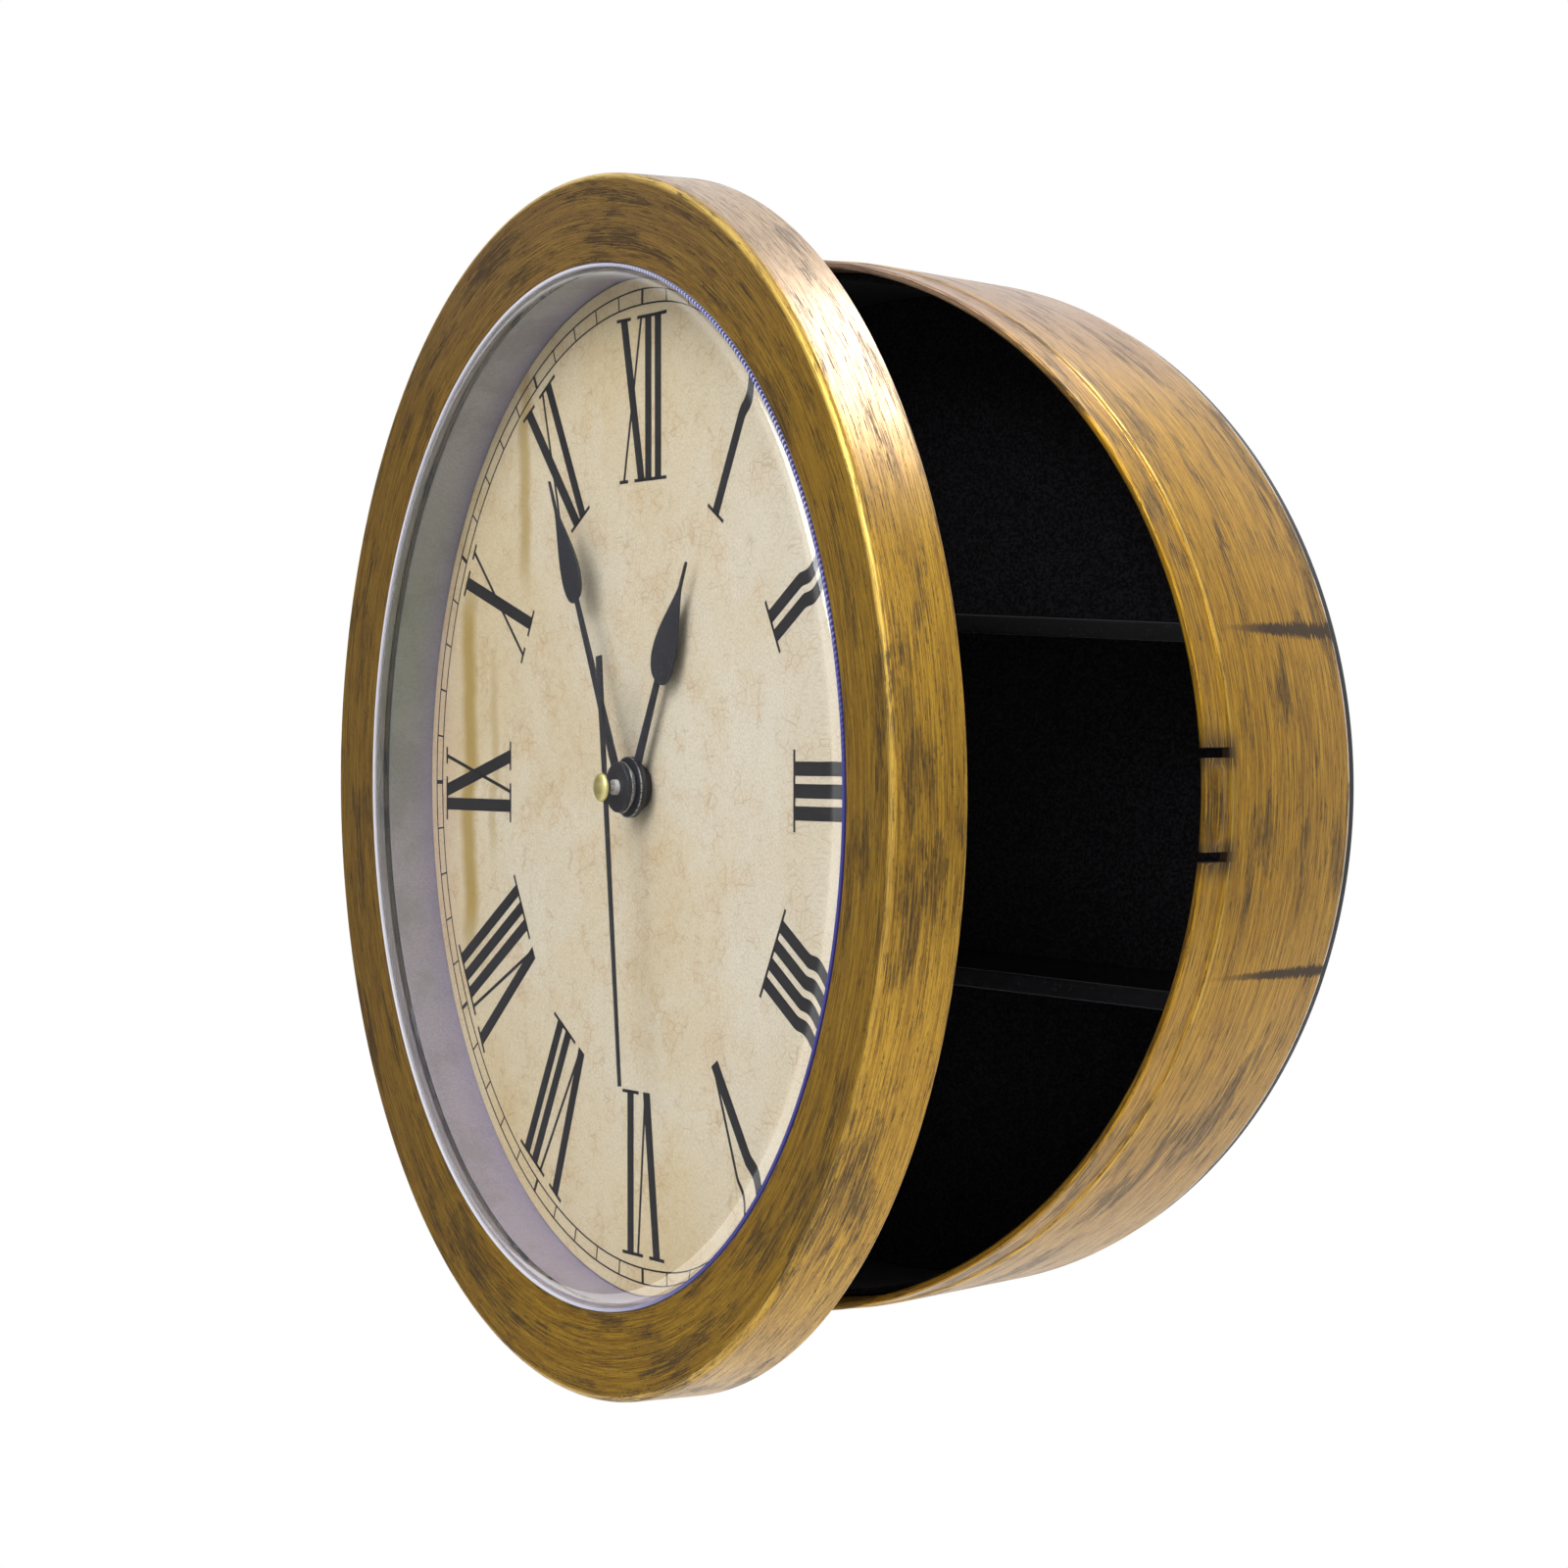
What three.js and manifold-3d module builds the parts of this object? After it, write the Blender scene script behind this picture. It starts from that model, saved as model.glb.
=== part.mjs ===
// Clock diversion safe: a wall clock whose face swings open on a shallow round cabinet.
//
// Millimetres, +Z up. The origin is the centre of the back, on the wall plane y = 0, and the
// clock looks along -Y. Every sub-part is built in a "front frame" (x to the right, y up,
// z out of the wall towards the viewer), which one rotated group turns into the part's frame.
import * as THREE from 'three';
import { mergeVertices } from 'three/addons/utils/BufferGeometryUtils.js';
import Module from 'manifold-3d';

// General
const fitGap = 0.3;
const roundSegments = 48;
const smallSegments = 12;

// Drum: the round cabinet that hangs on the wall
const shellLength = 51.7;
const drumInset = 15.2;
const lipWall = 1.6;
const lipLength = 8.6;
const ridgeStep = 0.9;
const drumTaper = 1;
const lugThickness = 2;
const lugHalfWidth = 6;
const lugReach = 10.8;
const backPlateThickness = 2;
const backPlateInset = 0.6;
const backScrewInset = 5.8;
const backScrewCount = 4;
const backScrewFirstAngle = 45;
const keyholeHeadRadius = 4.2;
const keyholeSlotRadius = 2.1;
const keyholeInset = 31.8;
const keyholeRise = 12;

// Liner and shelves: a black tray that sits a little turned in the drum
const trayTurn = 3;
const linerWall = 1.5;
const floorThickness = 1.2;
const linerSetback = 12.5;
const shelfThickness = 2.2;
const shelfLipHeight = 4.2;
const shelfLipThickness = 1.6;
const upperShelfTop = 38.3;
const lowerShelfTop = -35.2;
const railHeight = 3;
const railReach = 3;

// Latch: a springy tab between two slots in the lip, and its catch on the door ring
const latchCentreHeight = -2.85;
const latchSlotSpacing = 20.4;
const latchSlotWidth = 2;
const latchSlotLength = 8;
const latchBulge = 1;
const latchBulgeFront = 2;
const latchBulgeLength = 4;
const latchTabMargin = 1.4;
const catchHeight = 14;
const catchClearance = 0.5;

// Hinge: five knuckles on one upright pin at the left of the door
const hingeInset = 4;
const hingeBehindLip = 5;
const doorOverlap = 8;
const doorOpenAngle = 19.7;
const pinRadius = 1.2;
const pinClearance = 0.3;
const knuckleRadius = 2.6;
const middleKnuckleHalfHeight = 7.6;
const drumKnuckleHeight = 6;
const knuckleGap = 0.8;
const doorKnuckleHeight = 5.2;
const hingeArmThickness = 4.4;
const hingeNotchDepth = 6.4;

// Door ring
const ringRadius = 125;
const ringDepth = 16;
const ringBandWall = 2.4;
const ringEdgeRounding = 2.2;
const ringFaceWidth = 18.1;
const ringFaceDish = 1.15;
const ringFaceThickness = 1.8;
const ringInnerLipWidth = 2.3;
const ringInnerLipDepth = 2.25;
const ringRearFlangeWidth = 6.5;
const ringRearFlangeThickness = 1.8;
const ringScrewOutset = 5.3;
const ringScrewCount = 6;
const ringScrewFirstAngle = 30;
const ringBossRadius = 2.8;
const ringBossSkin = 1.9;

// Lens: a clear dish whose bent shoulder stands a little proud of the ring's inner edge
const lensThickness = 1.6;
const lensRise = 1.15;
const lensShoulder = 2.2;
const lensRadialGap = 0.4;
const lensFlangeWidth = 3.8;
const lensFlangeThickness = 1;

// Dial cup and dial
const cupInset = 0.8;
const cupWall = 1.3;
const cupFloor = 1.6;
const cupFlangeThickness = 1;
const clampInnerGap = 0.4;
const clampOuterGap = 0.8;
const clampThickness = 1.3;
const dialPlane = 0.5;
const dialThickness = 0.5;

// Screws
const screwShankRadius = 1.1;
const screwHeadRadius = 2.3;
const screwHeadThickness = 0.8;
const screwHoleRadius = screwShankRadius + fitGap;
const backScrewRecess = 1.2;

// Hands: the angles are told from the twelve o'clock direction, clockwise
const secondHandAngle = 174;
const minuteHandAngle = 330 + secondHandAngle / 60;
const hourHandAngle = minuteHandAngle / 12;
const handThickness = 0.5;
const handStemHalf = 1.4;
const handTipHalf = 0.3;
const hourHandLength = 51.5;
const hourBulbStart = 24.5;
const hourBulbEnd = 46;
const hourBulbHalf = 4.8;
const hourHubRadius = 6.3;
const minuteHandLength = 73;
const minuteBulbStart = 44;
const minuteBulbEnd = 66;
const minuteBulbHalf = 4;
const minuteHubRadius = 5.3;
const hourHandHeight = 2.25;
const minuteHandHeight = 4.95;
const secondHandHeight = 8.4;
const secondHandLength = 61.5;
const secondHandTail = 27.3;
const secondHandTipHalf = 0.45;
const secondHandTailHalf = 1.1;
const secondHandHub = 2.2;
const capRadius = 3;
const capThickness = 1.4;
const capWall = 0.7;

// Concentric shafts, from the inside out
const arborRadius = 0.5;
const shaftGap = 0.3;
const pipeWall = 0.8;
const minutePipeInner = arborRadius + shaftGap;
const minutePipeOuter = minutePipeInner + pipeWall;
const hourPipeInner = minutePipeOuter + shaftGap;
const hourPipeOuter = hourPipeInner + pipeWall;
const bushInner = hourPipeOuter + shaftGap;
const bushWall = 1;
const bushOuter = bushInner + bushWall;
const pipeStandOut = 0.4;
const minutePipeStandOut = 1.5;

// Quartz movement
const caseWall = 1.2;
const frontCaseDepth = 5.9;
const rearCaseDepth = 10.3;
const washerThickness = 0.8;
const washerRadius = 14;
const nutRadius = 5.1;
const nutThickness = 1.5;
const batteryRadius = 7.1;
const batteryLength = 50.3;
const batteryCapRadius = 2.7;
const batteryCapLength = 1.2;
const batteryHeight = -19.3;
const batteryEndRoom = 1.65;
const batteryUnderGap = 0.4;
const bayWall = 0.8;
const contactThickness = 0.4;
const bearingRadius = 1.6;
const bearingDepth = 2.2;
const bearingWeb = 0.6;
const postRadius = 1.2;

// Gear train: tooth counts, modules and the layers that the wheels turn in
const runningModule = 0.25;
const settingModule = 0.3;
const secondWheelTeeth = 48;
const secondPinionTeeth = 8;
const thirdWheelTeeth = 60;
const thirdPinionTeeth = 8;
const centreWheelTeeth = 64;
const intermediateWheelTeeth = 40;
const intermediatePinionTeeth = 8;
const rotorPinionTeeth = 8;
const minutePinionTeeth = 14;
const minuteWheelTeeth = 42;
const minuteWheelPinionTeeth = 8;
const hourWheelTeeth = 32;
const settingGearTeeth = 20;
const wheelThickness = 0.8;
const hourLayer = -6;
const minuteLayer = -7.4;
const centreLayer = -8.9;
const thirdLayer = -10.5;
const secondLayer = -12.3;
const intermediateLayer = -14;
const thirdAngle = 60;
const intermediateAngle = 170;
const rotorAngle = 180;
const minuteWheelAngle = -40;
const settingAngle = -10;
const rotorRadius = 3;
const rotorLength = 4.2;
const rotorTop = -8.2;
const settingShaftRadius = 1.2;
const knobRadius = 4.5;
const knobThickness = 2.4;

// Coil, stator and circuit board
const statorPlane = -11.9;
const statorThickness = 0.6;
const statorRingWidth = 1;
const statorLegWidth = 3;
const statorTopGap = 3.8;
const statorBarBottom = 7;
const statorRightLeg = -2;
const coilRadius = 3.2;
const coilDrop = 3.7;
const boardWidth = 20;
const boardHeight = 12;
const boardThickness = 0.8;
const boardEdgeGap = 1.8;
const boardPlane = -12;
const crystalRadius = 1;
const crystalLength = 6;

// Radii and places worked out from the ring's size
const hingeAxisX = hingeInset - ringRadius;
const ringOpeningRadius = ringRadius - ringFaceWidth;
const lensOuterRadius = ringOpeningRadius - lensRadialGap;
const lensFlangeRadius = lensOuterRadius + lensFlangeWidth;
const cupInnerRadius = ringOpeningRadius - cupInset;
const cupOuterRadius = cupInnerRadius + cupWall;
const clampInnerRadius = cupOuterRadius + clampInnerGap;
const clampOuterRadius = ringRadius - ringBandWall - clampOuterGap;
const ringScrewCircleRadius = lensFlangeRadius + ringScrewOutset;
const lipInnerRadius = ringRadius - drumInset;
const lipOuterRadius = lipInnerRadius + lipWall;
const ridgeRadius = lipOuterRadius + ridgeStep;
const drumBackRadius = ridgeRadius - drumTaper;
const lugInnerRadius = lipInnerRadius - lugReach;
const backScrewCircleRadius = lipInnerRadius - backScrewInset;
const keyholeCentreHeight = lipInnerRadius - keyholeInset;
const linerOuterRadius = lipInnerRadius - fitGap;
const linerInnerRadius = linerOuterRadius - linerWall;

// Depths worked out from the sizes above: front frame z of the drum, from the wall
const shellBack = backPlateThickness + fitGap;
const lipFront = shellBack + shellLength;
const ridgeFront = lipFront - lipLength;
const linerBack = shellBack + lugThickness + fitGap;
const linerFront = lipFront - linerSetback;
const floorFront = linerBack + floorThickness;
const hingeAxisZ = lipFront - hingeBehindLip;

// Door frame: x and y from the ring's centre, z from the ring's rear edge towards the viewer
const doorHingeZ = doorOverlap - hingeBehindLip;
const openingZ = ringDepth - ringFaceDish;
const innerLipZ = openingZ - ringInnerLipDepth;
const lensFront = openingZ + lensRise;
const lensFlangeFront = innerLipZ - fitGap;
const lensFlangeBack = lensFlangeFront - lensFlangeThickness;
const cupFlangeFront = lensFlangeBack - fitGap;
const cupFlangeBack = cupFlangeFront - cupFlangeThickness;
const clampFront = cupFlangeBack - fitGap;
const clampBack = clampFront - clampThickness;
const dialBack = dialPlane - dialThickness;
const cupFloorFront = dialBack - fitGap;
const cupFloorBack = cupFloorFront - cupFloor;
const washerFront = cupFloorBack - fitGap;
const caseFront = washerFront - washerThickness - fitGap;
const frontCaseBack = caseFront - frontCaseDepth;
const rearCaseFront = frontCaseBack - fitGap;
const rearCaseBack = rearCaseFront - rearCaseDepth;
const caseInnerWidth = batteryLength / 2 + batteryEndRoom;
const caseInnerHeight = batteryRadius + batteryUnderGap - batteryHeight;
const statorLegTop = caseInnerHeight - statorTopGap;
const coilHeight = statorLegTop - coilDrop;
const boardCentreX = caseInnerWidth - boardWidth / 2 - boardEdgeGap;
const boardCentreY = caseInnerHeight - boardHeight / 2 - boardEdgeGap;
const nutBack = dialPlane + fitGap;
const bushTop = nutBack + nutThickness;
const bushHoleRadius = bushOuter + fitGap;
const hourHandBack = dialPlane + hourHandHeight;
const minuteHandBack = dialPlane + minuteHandHeight;
const secondHandBack = dialPlane + secondHandHeight;
const capBack = secondHandBack + handThickness + fitGap;
const batteryZ = rearCaseBack + batteryRadius + fitGap;
const bayTop = batteryHeight + batteryRadius + fitGap;
const latchLow = latchCentreHeight - latchSlotSpacing / 2;
const latchHigh = latchCentreHeight + latchSlotSpacing / 2;

const wasm = await Module();
wasm.setup();

const degrees = Math.PI / 180;

// Solids and booleans

function toSolid(geometry) {
  const bare = geometry.clone();
  bare.deleteAttribute('normal');
  bare.deleteAttribute('uv');
  const merged = mergeVertices(bare, 1e-5);
  return new wasm.Manifold(new wasm.Mesh({
    numProp: 3,
    vertProperties: new Float32Array(merged.attributes.position.array),
    triVerts: new Uint32Array(merged.index.array),
  }));
}

function toGeometry(solid) {
  const mesh = solid.getMesh();
  const geometry = new THREE.BufferGeometry();
  geometry.setAttribute('position', new THREE.BufferAttribute(mesh.vertProperties, 3));
  geometry.setIndex(new THREE.BufferAttribute(mesh.triVerts, 1));
  geometry.computeVertexNormals();
  return geometry;
}

function join(geometries) {
  return toGeometry(geometries.map(toSolid).reduce((all, one) => all.add(one)));
}

function cut(geometry, cutters) {
  return toGeometry(cutters.map(toSolid).reduce((left, one) => left.subtract(one), toSolid(geometry)));
}

function common(first, second) {
  return toGeometry(toSolid(first).intersect(toSolid(second)));
}

// A profile of [radius, z] points turned about the z axis
function turned(profile, segments = roundSegments) {
  const points = profile.map(([radius, z]) => new THREE.Vector2(radius, z));
  points.push(points[0].clone());
  const geometry = new THREE.LatheGeometry(points, segments);
  geometry.rotateX(Math.PI / 2);
  return outward(geometry);
}

// Turns a closed surface inside out if its faces look inward
function outward(geometry) {
  const bare = geometry.clone();
  bare.deleteAttribute('normal');
  bare.deleteAttribute('uv');
  const merged = mergeVertices(bare, 1e-5);
  const position = merged.attributes.position;
  const index = merged.index.array;
  const kept = [];
  let volume = 0;
  const a = new THREE.Vector3();
  const b = new THREE.Vector3();
  const c = new THREE.Vector3();
  for (let i = 0; i < index.length; i += 3) {
    const [p, q, r] = [index[i], index[i + 1], index[i + 2]];
    if (p === q || q === r || r === p) continue;
    kept.push(p, q, r);
    a.fromBufferAttribute(position, p);
    b.fromBufferAttribute(position, q);
    c.fromBufferAttribute(position, r);
    volume += a.dot(b.cross(c));
  }
  if (volume < 0) kept.reverse();
  merged.setIndex(kept);
  merged.computeVertexNormals();
  return merged;
}

function disc(radius, back, front, segments = smallSegments) {
  return turned([[0, back], [radius, back], [radius, front], [0, front]], segments);
}

function tube(inner, outer, back, front, segments = smallSegments) {
  return turned([[inner, back], [outer, back], [outer, front], [inner, front]], segments);
}

function box(low, high) {
  const size = high.map((value, axis) => value - low[axis]);
  const centre = high.map((value, axis) => (value + low[axis]) / 2);
  return new THREE.BoxGeometry(...size).translate(...centre);
}

function extruded(shape, back, front, curveSegments = smallSegments) {
  const geometry = new THREE.ExtrudeGeometry(shape, {
    depth: front - back, bevelEnabled: false, curveSegments,
  });
  return geometry.translate(0, 0, back);
}

function uprightCylinder(radius, x, low, high, z) {
  const geometry = new THREE.CylinderGeometry(radius, radius, high - low, smallSegments);
  return geometry.translate(x, (low + high) / 2, z);
}

function levelCylinder(radius, left, right, y, z, segments = smallSegments) {
  const geometry = new THREE.CylinderGeometry(radius, radius, right - left, segments);
  return geometry.rotateZ(Math.PI / 2).translate((left + right) / 2, y, z);
}

function arcPoints(centreRadius, centreZ, radius, fromAngle, toAngle, steps) {
  const points = [];
  for (let i = 0; i <= steps; i += 1) {
    const angle = (fromAngle + (toAngle - fromAngle) * i / steps) * degrees;
    points.push([centreRadius + radius * Math.cos(angle), centreZ + radius * Math.sin(angle)]);
  }
  return points;
}

function onCircle(radius, angle) {
  return [radius * Math.cos(angle * degrees), radius * Math.sin(angle * degrees)];
}

// Materials

function material(color, roughness, metalness = 0) {
  return new THREE.MeshStandardMaterial({ color, roughness, metalness });
}

const antiqueGold = () => material(0xa9802f, 0.4, 0.75);
const blackPlastic = () => material(0x161616, 0.5);
const blackFlock = () => material(0x0b0b0c, 0.95);
const glossBlack = () => material(0x101012, 0.15);
const steel = () => material(0xb8bcc0, 0.35, 0.9);
const brass = () => material(0xc9a94a, 0.3, 0.9);
const greyPlastic = () => material(0x8f9396, 0.4);
const whiteNylon = () => material(0xe4e2da, 0.5);
const copper = () => material(0xb0643a, 0.4, 0.8);

function piece(name, geometry, pieceMaterial) {
  const mesh = new THREE.Mesh(geometry, pieceMaterial);
  mesh.name = name;
  return mesh;
}

// Drum shell: gold wall with a stepped lip, four rear lugs, the hinge arms and the latch tab

function hingeArm(lowEnd) {
  const high = lowEnd + drumKnuckleHeight;
  const halfArm = hingeArmThickness / 2;
  const armEnd = lipWall - lipInnerRadius;
  const arm = box([hingeAxisX, lowEnd, hingeAxisZ - halfArm], [armEnd, high, hingeAxisZ + halfArm]);
  return join([arm, uprightCylinder(knuckleRadius, hingeAxisX, lowEnd, high, hingeAxisZ)]);
}

function latchBulgePad() {
  const front = lipFront - latchBulgeFront;
  const back = front - latchBulgeLength;
  const pad = turned([
    [lipInnerRadius + lipWall / 2, back],
    [lipOuterRadius, back],
    [lipOuterRadius + latchBulge, back + latchBulgeLength / 2],
    [lipOuterRadius, front],
    [lipInnerRadius + lipWall / 2, front],
  ]);
  const reach = latchSlotWidth / 2 + latchTabMargin;
  return common(pad, box([0, latchLow + reach, back - 1], [ringRadius, latchHigh - reach, front + 1]));
}

function latchSlot(height) {
  const half = latchSlotWidth / 2;
  return box(
    [lipInnerRadius / 2, height - half, lipFront - latchSlotLength],
    [ringRadius, height + half, lipFront + 1],
  );
}

function drumShell() {
  const wall = turned([
    [lipInnerRadius, shellBack],
    [drumBackRadius, shellBack],
    [ridgeRadius, ridgeFront],
    [lipOuterRadius, ridgeFront],
    [lipOuterRadius, lipFront],
    [lipInnerRadius, lipFront],
  ]);
  const lugRing = tube(
    lugInnerRadius, lipInnerRadius + lipWall / 2, shellBack, shellBack + lugThickness, roundSegments,
  );
  const lugs = backScrewAngles().map((angle) => {
    const strip = box([0, -lugHalfWidth, 0], [ringRadius, lugHalfWidth, lipFront]);
    return common(lugRing, strip.rotateZ(angle * degrees));
  });
  const armStart = middleKnuckleHalfHeight + knuckleGap;
  const arms = [hingeArm(armStart), hingeArm(-armStart - drumKnuckleHeight)];
  const pinHole = uprightCylinder(pinRadius + pinClearance, hingeAxisX, -ringRadius, ringRadius, hingeAxisZ);
  const bore = disc(lipInnerRadius, shellBack + lugThickness, lipFront + 1, roundSegments);
  const screwHoles = backScrewPlaces().map(([x, y]) => (
    disc(screwHoleRadius, 0, linerBack).translate(x, y, 0)));
  const shell = cut(join([wall, ...arms, ...lugs]), [pinHole, bore, ...screwHoles]);
  return cut(join([shell, latchBulgePad()]), [latchSlot(latchLow), latchSlot(latchHigh)]);
}

// Back plate, its screws and the keyhole that hooks over a nail

function backScrewAngles() {
  return Array.from({ length: backScrewCount }, (_, i) => backScrewFirstAngle + 360 * i / backScrewCount);
}

function backScrewPlaces() {
  return backScrewAngles().map((angle) => onCircle(backScrewCircleRadius, angle));
}

function keyhole() {
  const shape = new THREE.Shape();
  const neck = Math.sqrt(keyholeHeadRadius ** 2 - keyholeSlotRadius ** 2);
  const top = keyholeCentreHeight + keyholeRise;
  shape.moveTo(keyholeSlotRadius, keyholeCentreHeight + neck);
  shape.lineTo(keyholeSlotRadius, top);
  shape.absarc(0, top, keyholeSlotRadius, 0, Math.PI);
  shape.lineTo(-keyholeSlotRadius, keyholeCentreHeight + neck);
  const start = Math.atan2(neck, -keyholeSlotRadius);
  const end = Math.PI * 2 + Math.atan2(neck, keyholeSlotRadius);
  shape.absarc(0, keyholeCentreHeight, keyholeHeadRadius, start, end);
  return extruded(shape, -1, backPlateThickness + 1);
}

function backPlate() {
  const plate = disc(drumBackRadius - backPlateInset, 0, backPlateThickness, roundSegments);
  const screwHoles = backScrewPlaces().flatMap(([x, y]) => [
    disc(screwHoleRadius, -1, backPlateThickness + 1).translate(x, y, 0),
    disc(screwHeadRadius + fitGap, -1, backScrewRecess).translate(x, y, 0),
  ]);
  return cut(plate, [keyhole(), ...screwHoles]);
}

function backScrew() {
  const seat = backScrewRecess - fitGap;
  const tip = shellBack + lugThickness - fitGap;
  return turned([
    [0, seat - screwHeadThickness],
    [screwHeadRadius, seat - screwHeadThickness],
    [screwHeadRadius, seat],
    [screwShankRadius, seat],
    [screwShankRadius, tip],
    [0, tip],
  ], smallSegments);
}

// Liner tray with the rails that carry the shelves

function shelfRails(shelfTop) {
  const ring = tube(
    linerInnerRadius - railReach, linerInnerRadius + linerWall / 2, floorFront + fitGap,
    linerFront - shelfLipThickness - fitGap, roundSegments,
  );
  const slabBottom = shelfTop - shelfThickness;
  const bands = [
    [slabBottom - fitGap - railHeight, slabBottom - fitGap],
    [shelfTop + fitGap, shelfTop + fitGap + railHeight],
  ];
  return bands.map(([low, high]) => (
    common(ring, box([-ringRadius, low, 0], [ringRadius, high, lipFront]))));
}

function drumLiner() {
  const wall = tube(linerInnerRadius, linerOuterRadius, linerBack, linerFront, roundSegments);
  return join([wall, ...shelfRails(upperShelfTop), ...shelfRails(lowerShelfTop)]);
}

function linerFloor() {
  return disc(linerInnerRadius - fitGap, linerBack, floorFront, roundSegments);
}

function shelf(top) {
  const back = floorFront + fitGap;
  const slab = box([-ringRadius, top - shelfThickness, back], [ringRadius, top, linerFront]);
  const lip = box(
    [-ringRadius, top - shelfLipHeight, linerFront - shelfLipThickness],
    [ringRadius, top, linerFront],
  );
  const round = disc(linerInnerRadius - fitGap, back - 1, linerFront + 1, roundSegments);
  return common(join([slab, lip]), round);
}

// Door ring: a hollow band with a dished face, screw bosses, hinge knuckles and the catch

function ringScrewPlaces() {
  return Array.from({ length: ringScrewCount }, (_, i) => (
    onCircle(ringScrewCircleRadius, ringScrewFirstAngle + 360 * i / ringScrewCount)));
}

function ringBody() {
  const bandInner = ringRadius - ringBandWall;
  const innerLipOuter = ringOpeningRadius + ringInnerLipWidth;
  const faceRun = ringRadius - ringEdgeRounding - ringOpeningRadius;
  const faceHeight = (radius) => openingZ + ringFaceDish * (radius - ringOpeningRadius) / faceRun;
  const rounding = arcPoints(
    ringRadius - ringEdgeRounding, ringDepth - ringEdgeRounding, ringEdgeRounding, 0, 90, 4,
  );
  return turned([
    [ringRadius, 0],
    ...rounding,
    [ringOpeningRadius, openingZ],
    [ringOpeningRadius, innerLipZ],
    [innerLipOuter, innerLipZ],
    [innerLipOuter, faceHeight(innerLipOuter) - ringFaceThickness],
    [bandInner, faceHeight(bandInner) - ringFaceThickness],
    [bandInner, ringRearFlangeThickness],
    [ringRadius - ringRearFlangeWidth, ringRearFlangeThickness],
    [ringRadius - ringRearFlangeWidth, 0],
  ]);
}

function doorKnuckle(low, high) {
  const block = box(
    [-ringRadius, low, doorHingeZ - knuckleRadius],
    [hingeAxisX + knuckleRadius, high, doorHingeZ + knuckleRadius],
  );
  return common(block, disc(ringRadius - fitGap, -1, ringDepth, roundSegments));
}

function hingeNotch(low) {
  const high = low + drumKnuckleHeight + knuckleGap;
  return box([-ringRadius - 1, low, -1], [-lipInnerRadius, high, hingeNotchDepth]);
}

function latchCatch() {
  const half = catchHeight / 2;
  const reach = lipOuterRadius + latchBulge + catchClearance;
  const block = box(
    [reach - ringBandWall, latchCentreHeight - half, 0],
    [ringRadius - ringBandWall / 2, latchCentreHeight + half, ringRearFlangeThickness],
  );
  return common(block, tube(reach, ringRadius - ringBandWall / 2, -1, ringDepth, roundSegments));
}

function doorRing() {
  const bossBack = clampFront + fitGap;
  const bosses = ringScrewPlaces().map(([x, y]) => (
    disc(ringBossRadius, bossBack, openingZ - ringFaceThickness / 2).translate(x, y, 0)));
  const bossHoles = ringScrewPlaces().map(([x, y]) => (
    disc(screwHoleRadius, bossBack - 1, ringDepth - ringFaceDish / 2 - ringBossSkin).translate(x, y, 0)));
  const outerStart = middleKnuckleHalfHeight + drumKnuckleHeight + 2 * knuckleGap;
  const knuckles = [
    doorKnuckle(-middleKnuckleHalfHeight, middleKnuckleHalfHeight),
    doorKnuckle(outerStart, outerStart + doorKnuckleHeight),
    doorKnuckle(-outerStart - doorKnuckleHeight, -outerStart),
  ];
  const notchStart = middleKnuckleHalfHeight + knuckleGap / 2;
  const notches = [hingeNotch(notchStart), hingeNotch(-notchStart - drumKnuckleHeight - knuckleGap)];
  const holeEnd = outerStart + doorKnuckleHeight + fitGap;
  const pinHole = uprightCylinder(pinRadius + pinClearance, hingeAxisX, -holeEnd, holeEnd, doorHingeZ);
  const solid = join([ringBody(), ...bosses, ...knuckles, latchCatch()]);
  return cut(solid, [...bossHoles, ...notches, pinHole]);
}

function hingePin() {
  const half = middleKnuckleHalfHeight + drumKnuckleHeight + 2 * knuckleGap + doorKnuckleHeight - fitGap;
  return uprightCylinder(pinRadius, hingeAxisX, -half, half, hingeAxisZ);
}

// Lens

function lens() {
  const innerRadius = lensOuterRadius - lensThickness;
  const bendRadius = lensOuterRadius - lensShoulder;
  const shoulder = arcPoints(bendRadius, lensFront - lensShoulder, lensShoulder, 90, 0, 4);
  const innerShoulder = lensShoulder - lensThickness / 2;
  return turned([
    [0, lensFront],
    ...shoulder,
    [lensOuterRadius, lensFlangeFront],
    [lensFlangeRadius, lensFlangeFront],
    [lensFlangeRadius, lensFlangeBack],
    [innerRadius, lensFlangeBack],
    [innerRadius, lensFront - lensThickness - innerShoulder],
    [innerRadius - innerShoulder, lensFront - lensThickness],
    [0, lensFront - lensThickness],
  ]);
}

// Dial cup, dial card, and the clamping ring whose screws hold cup and lens to the ring

function dialCup() {
  return turned([
    [bushHoleRadius, cupFloorBack],
    [cupOuterRadius, cupFloorBack],
    [cupOuterRadius, cupFlangeBack],
    [lensFlangeRadius, cupFlangeBack],
    [lensFlangeRadius, cupFlangeFront],
    [cupInnerRadius, cupFlangeFront],
    [cupInnerRadius, cupFloorFront],
    [bushHoleRadius, cupFloorFront],
  ]);
}

function clampRing() {
  const ring = tube(clampInnerRadius, clampOuterRadius, clampBack, clampFront, roundSegments);
  const holes = ringScrewPlaces().map(([x, y]) => (
    disc(screwHoleRadius, clampBack - 1, clampFront + 1).translate(x, y, 0)));
  return cut(ring, holes);
}

function dialCard() {
  return tube(bushHoleRadius, cupInnerRadius - fitGap, dialBack, dialPlane, roundSegments);
}

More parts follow.
